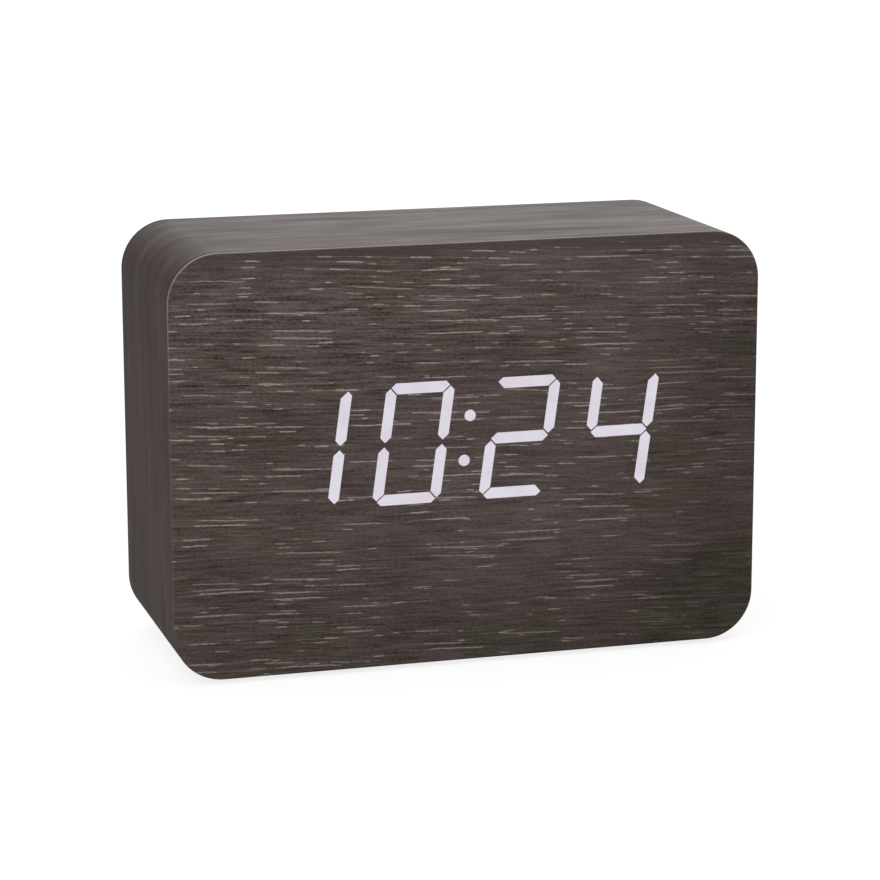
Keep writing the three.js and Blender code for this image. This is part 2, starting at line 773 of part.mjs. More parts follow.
// A closed tube with springSides sides round the wire's points, carried by one frame that doesn't twist.
function coneSpring(startX, direction, y, z) {
  const points = springPoints();
  const rings = [];
  let across = new THREE.Vector3(0, 1, 0);
  points.forEach((point, i) => {
    const before = points[Math.max(i - 1, 0)];
    const after = points[Math.min(i + 1, points.length - 1)];
    const along = after.clone().sub(before).normalize();
    across = across.clone().addScaledVector(along, -across.dot(along)).normalize();
    const third = along.clone().cross(across);
    for (let k = 0; k < springSides; k++) {
      const angle = (2 * Math.PI * k) / springSides;
      rings.push(point.clone()
        .addScaledVector(across, (springWire / 2) * Math.cos(angle))
        .addScaledVector(third, (springWire / 2) * Math.sin(angle)));
    }
  });
  const index = [];
  for (let i = 0; i + 1 < points.length; i++) {
    for (let k = 0; k < springSides; k++) {
      const a = i * springSides + k;
      const b = i * springSides + ((k + 1) % springSides);
      index.push(a, b, b + springSides, a, b + springSides, a + springSides);
    }
  }
  const last = (points.length - 1) * springSides;
  for (let k = 1; k + 1 < springSides; k++) {
    index.push(0, k + 1, k, last, last + k, last + k + 1);
  }
  const geometry = new THREE.BufferGeometry().setFromPoints(rings);
  geometry.setIndex(index);
  if (direction < 0) geometry.rotateZ(Math.PI);
  geometry.translate(startX, y, z);
  return geometry;
}

// A cell along X, with its plus end towards the given side.
function cell(side) {
  const body = cellLength - cellNubHeight;
  const geometry = turned([
    [0, 0], [cellRadius - cellEdge, 0], [cellRadius, cellEdge], [cellRadius, body - cellEdge],
    [cellRadius - cellEdge, body], [cellNubRadius, body], [cellNubRadius, cellLength], [0, cellLength],
  ]);
  geometry.rotateZ(-side * Math.PI / 2);
  return geometry;
}

const cells = Array.from({ length: cellCount }, (_, i) => {
  const side = i % 2 ? -1 : 1;
  return {
    name: `battery_${i + 1}`,
    side,
    x: trayEnd(-side) + side * (contactThickness + springLength),
    z: cellZ(i),
  };
});

const latchZ = doorTop - latchClearance - latchLeg;
const notchZ = latchZ - latchSlit - latchLeg;
const latchInnerY = plateBackY - latchDepth;

// The battery door, drawn about its hinge line: its lower edge is round about that line, and two hooks
// reach inwards.
function batteryDoor() {
  const halfWidth = trayInnerWidth / 2 - doorGap;
  const r = doorThickness / 2;
  const top = doorTop - hingeZ;
  const panel = join(
    box([-halfWidth, -r, 0], [halfWidth, r, top]),
    rodAlongX(r, -halfWidth, halfWidth, 0, 0, holeSides));
  const hooks = [-1, 1].flatMap((side) => {
    const x0 = side * hookSpread / 2 - hookWidth / 2;
    const x1 = x0 + hookWidth;
    return [
      box([x0, -r - hookArm, -r / 2], [x1, 0, r]),
      box([x0, -r - hookArm, -hookDrop], [x1, -r - hookArm + hookLeg, 0]),
    ];
  });
  const notch = box(
    [-latchWidth / 2 - doorGap, -r - overrun, notchZ + latchLeg - hingeZ],
    [latchWidth / 2 + doorGap, r + overrun, top + overrun]);
  const lowerLeg = box(
    [-latchWidth / 2, latchInnerY - hingeY, notchZ - hingeZ],
    [latchWidth / 2, 0, notchZ + latchLeg - hingeZ]);
  const bend = box(
    [-latchWidth / 2, latchInnerY - hingeY, notchZ - hingeZ],
    [latchWidth / 2, latchInnerY + latchLeg - hingeY, latchZ - doorGap - hingeZ]);
  const ribs = [1, 2, 3].map((i) => {
    const z = notchZ - hingeZ - i * ribPitch;
    return box([-ribLength / 2, 0, z - ribWidth / 2], [ribLength / 2, r + ribHeight, z + ribWidth / 2]);
  });
  return join(cut(panel, notch), ...hooks, lowerLeg, bend, ...ribs);
}

// The latch: the door's upper spring leg with its thumb pad, drawn about the bend that it flexes at.
function doorLatch() {
  const end = latchDepth - latchLeg / 2;
  const leg = box([-latchWidth / 2, -latchLeg / 2, -latchLeg / 2], [latchWidth / 2, end, latchLeg / 2]);
  const pad = box(
    [-latchWidth / 2, end - latchLeg, -latchLeg / 2 - latchPad],
    [latchWidth / 2, end, latchLeg / 2]);
  return join(leg, pad);
}

function mainBoard() {
  const outline = polygon([
    [-boardHalfWidth, boardFoot], [boardArmRight, boardFoot], [boardArmRight, boardBottom],
    [boardHalfWidth, boardBottom], [boardHalfWidth, boardTop], [-boardHalfWidth, boardTop],
  ]);
  const holes = boardPosts.map(({ x, z }) => rodAlongY(
    boardScrewRadius + screwClearance, boardFrontY - overrun, boardBackY + overrun, x, z, tinySides));
  return cut(prism(outline, boardFrontY, boardBackY), ...holes);
}

// A pan-head screw that comes from the display's side, through the board and into its post.
function boardScrew({ x, z }) {
  return join(
    rodAlongY(boardScrewHead, boardFrontY - boardScrewHeadHeight, boardFrontY, x, z, holeSides),
    rodAlongY(boardScrewRadius, boardFrontY - weld, boardFrontY + boardScrewLength, x, z, tinySides));
}

// A button's cap: a bevelled pill through the plate, a flange behind it and a stem towards the switch.
function buttonCap(button) {
  const capFront = plateFrontY - buttonGap - buttonFlangeThickness;
  const bevelled = new THREE.ExtrudeGeometry(buttonOutline(button, -buttonBevel), {
    depth: plateBackY + buttonProud - capFront - 2 * buttonBevel,
    bevelSize: buttonBevel,
    bevelThickness: buttonBevel,
    bevelSegments: 1,
    curveSegments: smallSteps,
  });
  bevelled.rotateX(Math.PI / 2);
  bevelled.translate(0, plateBackY + buttonProud - buttonBevel, 0);
  const flange = prism(
    buttonOutline(button, buttonFlange), capFront, plateFrontY - buttonGap, smallSteps);
  const stem = rodAlongY(
    buttonStemRadius, plungerTopY + buttonGap, capFront + weld, buttonX(button), buttonRowZ);
  return join(solidOf(bevelled), flange, stem);
}

function switchCase(button) {
  const x = buttonX(button);
  const half = switchBody / 2;
  return cut(
    box([x - half, boardBackY, buttonRowZ - half],
      [x + half, boardBackY + switchBodyHeight, buttonRowZ + half]),
    rodAlongY(plungerRadius + plungerClearance, plungerFloorY, boardBackY + switchBodyHeight + overrun,
      x, buttonRowZ, holeSides));
}

const switchPlunger = (button) => rodAlongY(plungerRadius,
  plungerTopY - plungerProud - plungerSunk, plungerTopY, buttonX(button), buttonRowZ, holeSides);

// The slide switch's knob at its left stop: a ridged cap in the plate's pocket and a stem down
// into the switch.
function slideKnob() {
  const capFront = plateBackY - slidePocketDepth + slideClearance;
  const capBack = plateBackY + slideCapProud;
  const cap = box([-slideCapWidth / 2, capFront, -slideCapHeight / 2],
    [slideCapWidth / 2, capBack, slideCapHeight / 2]);
  const stem = box(
    [-slideStem / 2, boardBackY + slideBodyDepth - slideGrooveDepth + slideClearance, -slideStem / 2],
    [slideStem / 2, capFront + weld, slideStem / 2]);
  const grooves = [-1, 0, 1].map((i) => {
    const x = i * slideCapWidth / 3;
    return box([x - slideRidge / 2, capBack - slideRidge, -slideCapHeight / 2 - overrun],
      [x + slideRidge / 2, capBack + overrun, slideCapHeight / 2 + overrun]);
  });
  return cut(join(cap, stem), ...grooves);
}

function slideCase() {
  const middle = armMidX;
  const top = boardBackY + slideBodyDepth;
  const grooveX = (slideStem + slideTravel) / 2 + slideClearance;
  const grooveZ = slideStem / 2 + slideClearance;
  return cut(
    box([middle - slideBodyWidth / 2, boardBackY, buttonRowZ - slideBodyHeight / 2],
      [middle + slideBodyWidth / 2, top, buttonRowZ + slideBodyHeight / 2]),
    box([middle - grooveX, top - slideGrooveDepth, buttonRowZ - grooveZ],
      [middle + grooveX, top + overrun, buttonRowZ + grooveZ]));
}

// The power socket's metal shell, open at the back of the clock.
function socketShell() {
  const outer = roundedRectangle(
    socketWidth, socketHeight, socketHeight / 2 - mergeDistance, armMidX, socketZ);
  const innerHeight = socketHeight - 2 * socketWall;
  const inner = roundedRectangle(
    socketWidth - 2 * socketWall, innerHeight, innerHeight / 2 - mergeDistance, armMidX, socketZ);
  return cut(
    prism(outer, boardBackY, plateBackY - socketRecess, smallSteps),
    prism(inner, boardBackY + socketBase, plateBackY + overrun, smallSteps));
}

const socketTongue = () => box(
  [armMidX - tongueWidth / 2, boardBackY + socketBase, socketZ - tongueHeight / 2],
  [armMidX + tongueWidth / 2, plateBackY - socketRecess - tongueRecess, socketZ + tongueHeight / 2]);

const buzzer = () => cut(
  rodAlongY(buzzerRadius, boardBackY, boardBackY + buzzerHeight, armMidX, buzzerZ),
  rodAlongY(buzzerHole, boardBackY + buzzerHeight / 2, boardBackY + buzzerHeight + overrun,
    armMidX, buzzerZ, tinySides));

// A chip's box on the board's display side.
function chip(x, width, height, thickness) {
  return box([x - width / 2, boardFrontY - chipGap - thickness, buttonRowZ - height / 2],
    [x + width / 2, boardFrontY - chipGap, buttonRowZ + height / 2]);
}

const crystal = () => {
  const geometry = turned([[0, -crystalLength / 2], [crystalRadius, -crystalLength / 2],
    [crystalRadius, crystalLength / 2], [0, crystalLength / 2]], holeSides);
  geometry.rotateX(Math.PI / 2);
  geometry.translate(crystalShift, boardFrontY - chipGap - crystalRadius, buttonRowZ);
  return solidOf(geometry);
};

// A clip that stands on the sleeve's floor and holds the ferrite rod in an open round seat.
function antennaClip(x) {
  const seat = rodRadius + clipClearance;
  const half = seat + clipWall;
  const block = box(
    [x - clipWidth / 2, rodY - half, cavityFloorZ], [x + clipWidth / 2, rodY + half, rodZ + seat / 2]);
  const mouth = seat * clipMouthShare;
  return cut(block,
    rodAlongX(seat, x - clipWidth, x + clipWidth, rodY, rodZ),
    box([x - clipWidth, rodY - mouth, rodZ], [x + clipWidth, rodY + mouth, rodZ + seat + overrun]));
}

const antennaRod = () => rodAlongX(rodRadius, -rodLength / 2, rodLength / 2, rodY, rodZ);

const antennaCoil = () => cut(
  rodAlongX(coilRadius, coilShift - coilLength / 2, coilShift + coilLength / 2, rodY, rodZ),
  rodAlongX(rodRadius + coilClearance, coilShift - coilLength, coilShift + coilLength, rodY, rodZ));

const receiverX = armMidX;
const receiverZ = boardPosts[1].z + boardScrewHead + receiverRoom + receiverHeight / 2;
const receiverBackY = boardFrontY - receiverGap;
const receiverFrontY = receiverBackY - receiverThickness;

const receiverBoard = () => join(
  box([receiverX - receiverWidth / 2, receiverFrontY, receiverZ - receiverHeight / 2],
    [receiverX + receiverWidth / 2, receiverBackY, receiverZ + receiverHeight / 2]),
  rodAlongY(receiverBlobRadius, receiverFrontY - receiverBlobHeight, receiverFrontY + weld,
    receiverX, receiverZ, holeSides));

// A wire through chosen points, as a closed tube.
function wire(points, radius = leadRadius, sides = leadSides) {
  const path = new THREE.CatmullRomCurve3(points.map(([x, y, z]) => new THREE.Vector3(x, y, z)));
  const ring = Array.from({ length: sides }, (_, k) => {
    const angle = (2 * Math.PI * k) / sides;
    return new THREE.Vector2(radius * Math.cos(angle), radius * Math.sin(angle));
  });
  const steps = Math.round(path.getLength() / leadStep);
  return new THREE.ExtrudeGeometry(new THREE.Shape(ring), { steps, extrudePath: path });
}

const tagEndY = trayFloorY - trayWall - tagLength;

// The battery wires run from the end contacts' tags to the main board.
function negativeLead() {
  const x = trayLeft + contactThickness / 2;
  return wire([
    [x, tagEndY - leadGap, cellZ(0)],
    [x, tagEndY - 1.3, cellZ(0)],
    [x - 1.2, tagEndY - 2.2, cellZ(0) + 1.6],
    [x - 3.6, tagEndY - 1.0, cellZ(0) + 4],
    [boardArmRight - 2.2, boardFrontY - 3, cellZ(0) + 6],
    [boardArmRight - 2.6, boardFrontY - leadRadius / 2 - leadGap, cellZ(0) + 7],
  ]);
}

function positiveLead() {
  const x = trayRight - contactThickness / 2;
  return wire([
    [x, tagEndY - leadGap, cellZ(2)],
    [x, tagEndY - 1.3, cellZ(2)],
    [x - 1, tagEndY - 2.2, cellZ(2) + 1.8],
    [x - 2.5, tagEndY - 1.2, cellZ(2) + 5],
    [x - 5, tagEndY + 0.4, boardBottom - 0.5],
    [x - 6.5, boardFrontY - 2, boardBottom + 2.2],
    [x - 7, boardFrontY - leadRadius / 2 - leadGap, boardBottom + 2.6],
  ]);
}

// The winding's pair of wires climbs to the receiver board.
function antennaLead() {
  const x = coilShift - coilLength / 2;
  return wire([
    [x - leadGap, rodY, rodZ + (rodRadius + coilRadius) / 2],
    [x - 2.4, rodY + 1.2, rodZ + 6],
    [receiverX + 5, rodY + 5, rodZ + 10],
    [receiverX + 4, receiverFrontY - 2.4, receiverZ - receiverHeight / 2 + 1],
    [receiverX + 4, receiverFrontY - leadGap, receiverZ - receiverHeight / 2 + 2.4],
  ]);
}

// The flat ribbon between the two boards: it leaves each of them square, and bends up between.
function displayRibbon() {
  const start = displayBoardBackY + leadGap;
  const end = boardFrontY - leadGap;
  const reach = (end - start) / 2;
  const low = displayZ + displayHalfHeight / 2;
  const high = boardBottom + ribbonLanding;
  const curve = new THREE.CubicBezierCurve(
    new THREE.Vector2(start, low), new THREE.Vector2(start + reach, low),
    new THREE.Vector2(end - reach, high), new THREE.Vector2(end, high));
  const edge = (side) => curve.getPoints(cornerSteps).map((p, i) => {
    const t = curve.getTangent(i / cornerSteps);
    return new THREE.Vector2(p.x - side * t.y * ribbonThickness / 2, p.y + side * t.x * ribbonThickness / 2);
  });
  const shape = new THREE.Shape([...edge(-1), ...edge(1).reverse()]);
  const geometry = new THREE.ExtrudeGeometry(shape, { depth: ribbonWidth, bevelEnabled: false });
  const toSide = new THREE.Matrix4().makeBasis(
    new THREE.Vector3(0, 1, 0), new THREE.Vector3(0, 0, 1), new THREE.Vector3(1, 0, 0));
  geometry.applyMatrix4(toSide);
  geometry.translate(ribbonShift - ribbonWidth / 2, 0, 0);
  return geometry;
}

const feet = [
  { name: "foot_front_left", x: -1, y: -1 },
  { name: "foot_front_right", x: 1, y: -1 },
  { name: "foot_back_left", x: -1, y: 1 },
  { name: "foot_back_right", x: 1, y: 1 },
];

function foot({ x, y }) {
  const geometry = new THREE.CylinderGeometry(footRadius, footRadius, footHeight, roundSides);
  geometry.rotateX(Math.PI / 2);
  geometry.translate(x * (caseWidth / 2 - footInsetX), y * (caseDepth / 2 - footInsetY), footHeight / 2);
  return geometry;
}

// Colours and finishes
const finish = (color, roughness, metalness = 0) =>
  new THREE.MeshStandardMaterial({ color, roughness, metalness });
const film = finish(0x463d38, 0.55);
const wood = finish(0xa98a63, 0.85);
const blackPlastic = finish(0x1b1b1c, 0.5);
const doorPlastic = finish(0x202021, 0.5);
const glowing = finish(0xe1dde6, 0.6);
glowing.emissive = new THREE.Color(0xe1dde6);
const whitePlastic = finish(0xf0f0ee, 0.5);
const circuit = finish(0x1f5a34, 0.45);
const chipBlack = finish(0x141414, 0.6);
const steel = finish(0xc9cbce, 0.3, 1);
const spring = finish(0xb8bcc0, 0.3, 1);
const rubber = finish(0x161616, 0.9);
const cellSleeve = finish(0x30343a, 0.4, 0.3);
const ferrite = finish(0x2b2b2d, 0.6);
const copper = finish(0xb4622d, 0.35, 1);
const redWire = finish(0xb01e1e, 0.5);
const blackWire = finish(0x101010, 0.5);
const greyWire = finish(0x8f9396, 0.5);

const clock = new THREE.Group();
clock.name = "radio_controlled_alarm_clock";

// Adds one piece, made of a solid or a geometry, to a group.
function add(name, shape, material, parent = clock) {
  const mesh = new THREE.Mesh(shape.isBufferGeometry ? shape : geometryOf(shape), material);
  mesh.name = name;
  parent.add(mesh);
  return mesh;
}

add("front_film", frontFilm(), film);
add("wrap_film", wrapFilm(), film);
add("front_panel", frontPanel(), blackPlastic);
add("case_sleeve", caseSleeve(), wood);
feet.forEach((place) => add(place.name, foot(place), rubber));

digits.forEach((digit) => add(digit.name, digitLens(digit), glowing));
add("colon_lens", colonLens(), glowing);
add("display_reflector", reflector(), whitePlastic);
add("display_board", displayBoard(), circuit);
add("display_ribbon", displayRibbon(), greyWire);

add("back_plate", backPlate(), blackPlastic);
backScrews.forEach((place) => add(place.name, backScrew(place), steel));

contacts.forEach((one) => add(one.name, contact(one), spring));
cells.forEach(({ name, side, x, z }) => add(name, cell(side), cellSleeve).position.set(x, cellY, z));

const doorGroup = new THREE.Group();
doorGroup.position.set(trayMidX, hingeY, hingeZ);
clock.add(doorGroup);
add("battery_door", batteryDoor(), doorPlastic, doorGroup);
const latchGroup = new THREE.Group();
latchGroup.position.set(0, latchInnerY + latchLeg / 2 - hingeY, latchZ + latchLeg / 2 - hingeZ);
doorGroup.add(latchGroup);
add("battery_door_latch", doorLatch(), doorPlastic, latchGroup);

add("main_board", mainBoard(), circuit);
boardPosts.forEach((place) => add(place.name, boardScrew(place), steel));
buttons.forEach((button) => {
  const base = button.name.replace("_button", "");
  add(button.name, buttonCap(button), blackPlastic);
  add(`${base}_switch_plunger`, switchPlunger(button), chipBlack);
  add(`${base}_switch_case`, switchCase(button), steel);
});
add("alarm_switch_knob", slideKnob(), blackPlastic).position.set(slideLeft, 0, buttonRowZ);
add("alarm_switch_case", slideCase(), steel);
add("power_socket_shell", socketShell(), steel);
add("power_socket_tongue", socketTongue(), chipBlack);
add("buzzer", buzzer(), chipBlack);
add("microphone", rodAlongY(microphoneRadius, boardBackY, boardBackY + microphoneHeight,
  microphoneX, buttonRowZ), steel);
add("controller_chip", chip(controllerShift, controllerSize, controllerSize, controllerHeight), chipBlack);
add("led_driver_chip", chip(driverShift, driverLength, driverWidth, driverHeight), chipBlack);
add("quartz_crystal", crystal(), steel);
add("supply_capacitor", rodAlongY(capacitorRadius, boardFrontY - chipGap - capacitorHeight,
  boardFrontY - chipGap, capacitorShift, buttonRowZ), blackWire);

add("antenna_rod", antennaRod(), ferrite);
add("antenna_coil", antennaCoil(), copper);
add("antenna_clip_left", antennaClip(-clipX), whitePlastic);
add("antenna_clip_right", antennaClip(clipX), whitePlastic);
add("receiver_board", receiverBoard(), circuit);
add("antenna_lead", antennaLead(), copper);
add("battery_lead_negative", negativeLead(), blackWire);
add("battery_lead_positive", positiveLead(), redWire);

console.log(`least gap in a battery spring: ${springGap(springPoints()).toFixed(2)} mm`);

export default clock;
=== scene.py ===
"""Looks for a radio-controlled alarm clock in a wood-look block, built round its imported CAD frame.

Lengths are metres. +X is to the right as the display is read, +Y runs from the display to the back
and +Z is up. A material's patterns are worked out in millimetres.
"""

import functools
import math

import bmesh
import bpy
import numpy as np
from mathutils import Matrix, Vector


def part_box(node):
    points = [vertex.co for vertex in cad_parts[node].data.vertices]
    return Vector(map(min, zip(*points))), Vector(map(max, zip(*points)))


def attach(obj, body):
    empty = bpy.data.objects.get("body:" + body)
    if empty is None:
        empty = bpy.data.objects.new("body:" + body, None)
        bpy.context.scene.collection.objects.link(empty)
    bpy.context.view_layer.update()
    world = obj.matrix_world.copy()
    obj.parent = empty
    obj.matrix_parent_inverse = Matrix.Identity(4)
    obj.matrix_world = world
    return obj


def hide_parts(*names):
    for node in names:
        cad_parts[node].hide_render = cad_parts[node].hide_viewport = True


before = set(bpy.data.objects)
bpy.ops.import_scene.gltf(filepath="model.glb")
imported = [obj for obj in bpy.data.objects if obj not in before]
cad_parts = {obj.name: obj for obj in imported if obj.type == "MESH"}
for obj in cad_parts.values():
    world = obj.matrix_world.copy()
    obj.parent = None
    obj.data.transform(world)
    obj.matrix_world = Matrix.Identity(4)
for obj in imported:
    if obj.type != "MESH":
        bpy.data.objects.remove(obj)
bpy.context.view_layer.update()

MM = 0.001
CASE_HALF_WIDTH = 50 * MM
CASE_HALF_HEIGHT = 35 * MM
CASE_MIDDLE_Z = 35.8 * MM
CORNER_RADIUS = 8.2 * MM
FILM = 0.4 * MM
TURNED_SIDES = 64
LIGHTS_AIM = (0, 0, 30 * MM)
NOWHERE = ((0, 0, 0), (0, 0, 0))


# Helpers for shapes

def box_of(node):
    """A CAD node's lowest and highest corners and its middle."""
    low, high = np.array(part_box(node))
    return low, high, (low + high) / 2


def grid_corners(rows, columns):
    """The row and the column of the four corners of each face on a grid, in the faces' order."""
    row = np.arange(rows)[:, None, None] + np.array([0, 0, 1, 1])
    column = np.arange(columns)[None, :, None] + np.array([0, 1, 1, 0])
    return np.broadcast_arrays(row, column)


def grid_faces(rows, columns, round_rows=False, round_columns=False):
    """Four-sided faces between neighbours on a grid of points numbered row by row; a round direction
    joins its last points to its first."""
    row, column = grid_corners(rows if round_rows else rows - 1, columns if round_columns else columns - 1)
    return (row % rows * columns + column % columns).reshape(-1, 4)


def placed(name, data):
    """A new object in the scene that holds a mesh, a lamp or a lens."""
    thing = bpy.data.objects.new(name, data)
    bpy.context.scene.collection.objects.link(thing)
    return thing


def new_piece(node, kind, parts, materials, sharp=32.0, uv=None, numbers=None):
    """A shown piece in place of a CAD node of the case, from parts of (points, faces) and each part's
    material number. Doubles are merged, so that poles and seams close, and faces are turned outwards."""
    points = np.concatenate([part[0].reshape(-1, 3) for part in parts])
    starts = np.cumsum([0] + [part[0].size // 3 for part in parts])
    faces = np.concatenate([part[1] + start for part, start in zip(parts, starts)])
    mesh = bpy.data.meshes.new(f"{node}_{kind}")
    mesh.from_pydata(points.tolist(), [], faces.tolist())
    counts = [len(part[1]) for part in parts]
    mesh.polygons.foreach_set("material_index", np.repeat(numbers or [0] * len(parts), counts))
    if uv is not None:
        mesh.uv_layers.new(name="grain").data.foreach_set("uv", uv.astype(np.float32).ravel())
    tidy_shell(mesh)
    show(mesh, node, materials, "case", sharp)


def tidy_shell(mesh):
    """Merges a mesh's doubles and turns its faces outwards."""
    shell = bmesh.new()
    shell.from_mesh(mesh)
    bmesh.ops.remove_doubles(shell, verts=shell.verts, dist=1e-7)
    bmesh.ops.recalc_face_normals(shell, faces=shell.faces)
    shell.to_mesh(mesh)
    shell.free()


def show(mesh, node, materials, body, sharp):
    """Puts a finished mesh into the scene as a piece that rides on a body in place of a CAD node. Edges
    under the sharp angle are smooth."""
    for material in materials:
        mesh.materials.append(material)
    mesh.shade_smooth()
    mesh.set_sharp_from_angle(angle=math.radians(sharp))
    piece = placed(mesh.name, mesh)
    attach(piece, body)
    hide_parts(node)
    return piece


def welded(node):
    """A CAD node's points, each kept once, and its triangles between them."""
    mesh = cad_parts[node].data
    points = np.empty(len(mesh.vertices) * 3)
    mesh.vertices.foreach_get("co", points)
    corners = np.empty(len(mesh.loops), np.int32)
    mesh.loops.foreach_get("vertex_index", corners)
    kept, first, index = np.unique(
        np.round(points.reshape(-1, 3) * 1e7), axis=0, return_index=True, return_inverse=True)
    triangles = index.reshape(-1)[corners].reshape(-1, 3)
    whole = (triangles != np.roll(triangles, 1, axis=1)).all(axis=1)
    return points.reshape(-1, 3)[first], triangles[whole]


def softened(node, material, edge, body="case", segments=2, sharp=40.0, keep=NOWHERE):
    """A moulded CAD piece as a merged copy in large flat faces, whose sharp edges are rounded over, apart
    from those inside the kept box, which is in millimetres."""
    points, triangles = welded(node)
    mesh = bpy.data.meshes.new(node + "_moulded")
    mesh.from_pydata(points.tolist(), [], triangles.tolist())
    shell = bmesh.new()
    shell.from_mesh(mesh)
    bmesh.ops.dissolve_limit(shell, angle_limit=math.radians(0.5), verts=shell.verts, edges=shell.edges)
    bmesh.ops.triangulate(shell, faces=shell.faces, ngon_method="BEAUTY")
    weight = shell.edges.layers.float.new("bevel_weight_edge")
    low, high = np.array(keep) * MM
    for side in shell.edges:
        middle = np.array((side.verts[0].co + side.verts[1].co) / 2)
        kept = (middle > low).all() and (middle < high).all()
        side[weight] = 0.0 if kept or side.calc_face_angle(0.0) < math.radians(sharp) else 1.0
    shell.to_mesh(mesh)
    shell.free()
    piece = show(mesh, node, [material], body, sharp)
    bevel = piece.modifiers.new("rounded_edges", "BEVEL")
    bevel.width = edge
    bevel.segments = segments
    bevel.limit_method = "WEIGHT"
    bevel.use_clamp_overlap = False
    bevel.loop_slide = False
    bevel.harden_normals = True


def turned(profile, centre, axis, sides=TURNED_SIDES):
    """A turned surface: each (radius, height) of the profile is carried round an axis (0 X, 1 Y, 2 Z)
    through the centre, so a point is radius * cos, radius * sin and height."""
    radius, height = np.array(profile).T
    angle = np.linspace(0, 2 * np.pi, sides, endpoint=False)
    points = np.empty((len(radius), sides, 3))
    points[..., (axis + 1) % 3] = radius[:, None] * np.cos(angle)
    points[..., (axis + 2) % 3] = radius[:, None] * np.sin(angle)
    points[..., axis] = height[:, None]
    return points + np.array(centre), grid_faces(len(radius), sides, round_columns=True)


def quarter(radius, inner, outer, steps=5):
    """Points (along, up) of a quarter circle that rounds an edge over, from the flat to the wall."""
    angle = np.linspace(np.pi / 2, 0, steps)
    return np.stack([inner + radius * np.cos(angle), outer + radius * np.sin(angle)], axis=1)


def wire_route(points, steps=12):
    """A smooth route through a wire's points: the centripetal Catmull-Rom curve, one cubic from each
    point to the next, with each span's speed set by the square root of its length."""
    points = np.array(points, float)
    ends = [2 * points[:1] - points[1:2], points, 2 * points[-1:] - points[-2:-1]]
    known = np.concatenate(ends)
    p0, p1, p2, p3 = known[:-3], known[1:-2], known[2:-1], known[3:]
    spans = ((p0, p1), (p1, p2), (p2, p3))
    t0, t1, t2 = (np.sqrt(np.linalg.norm(b - a, axis=1))[:, None] for a, b in spans)
    leave = ((p1 - p0) / t0 - (p2 - p0) / (t0 + t1) + (p2 - p1) / t1) * t1
    reach = ((p2 - p1) / t1 - (p3 - p1) / (t1 + t2) + (p3 - p2) / t2) * t1
    s = np.linspace(0, 1, steps, endpoint=False)[None, :, None]
    curve = ((2 * s**3 - 3 * s**2 + 1) * p1[:, None] + (s**3 - 2 * s**2 + s) * leave[:, None]
             + (3 * s**2 - 2 * s**3) * p2[:, None] + (s**3 - s**2) * reach[:, None])
    return np.concatenate([curve.reshape(-1, 3), points[-1:]])


def tube(route, radius, across, sides):
    """A round wire: circles square to the route, turned by the same crosswise direction all along, with
    its first and last circle drawn in to a point."""
    along = np.gradient(route, axis=0)
    along /= np.linalg.norm(along, axis=1)[:, None]
    side = np.cross(along, np.array(across, float))
    side /= np.linalg.norm(side, axis=1)[:, None]
    up = np.cross(side, along)
    angle = np.linspace(0, 2 * np.pi, sides, endpoint=False)
    circle = np.cos(angle)[None, :, None] * side[:, None] + np.sin(angle)[None, :, None] * up[:, None]
    rings = route[:, None] + radius * circle
    closed = [np.repeat(route[:1, None], sides, axis=1), rings, np.repeat(route[-1:, None], sides, axis=1)]
    return np.concatenate(closed), grid_faces(len(route) + 2, sides, round_columns=True)


# Helpers for materials

def colour(red, green, blue):
    """The linear colour of three 8-bit sRGB values."""
    value = np.array([red, green, blue]) / 255
    linear = np.where(value <= 0.04045, value / 12.92, ((value + 0.055) / 1.055) ** 2.4)
    return (*linear.tolist(), 1.0)


class Signal:
    """A number that a node graph works out at each point. Sums, products and the like add Math nodes."""

    def __init__(self, graph, socket):
        self.graph = graph
        self.socket = socket

    def worked_out(self, operation, first, second=0):
        node = self.graph.node("ShaderNodeMath", {0: first, 1: second}, operation=operation)
        return Signal(self.graph, node.outputs[0])

    def __add__(self, other):
        return self.worked_out("ADD", self, other)

    def __sub__(self, other):
        return self.worked_out("SUBTRACT", self, other)

    def __rsub__(self, other):
        return self.worked_out("SUBTRACT", other, self)

    def __mul__(self, other):
        return self.worked_out("MULTIPLY", self, other)

    def __truediv__(self, other):
        return self.worked_out("DIVIDE", self, other)

    def __abs__(self):
        return self.worked_out("ABSOLUTE", self)

    def root(self):
        return self.worked_out("SQRT", self)

    def under(self, limit):
        return self.worked_out("LESS_THAN", self, limit)

    def larger(self, other):
        return self.worked_out("MAXIMUM", self, other)

    def wave(self, length):
        """A sine wave from -1 to 1 with that length."""
        return self.worked_out("SINE", self * (2 * math.pi / length))

    def rise(self, low, high):
        """0 up to low, 1 from high, and a smooth step between; low above high falls instead."""
        inputs = {"Value": self, "From Min": min(low, high), "From Max": max(low, high),
                  "To Min": float(low > high), "To Max": float(low < high)}
        node = self.graph.node("ShaderNodeMapRange", inputs, interpolation_type="SMOOTHSTEP")
        return Signal(self.graph, node.outputs["Result"])


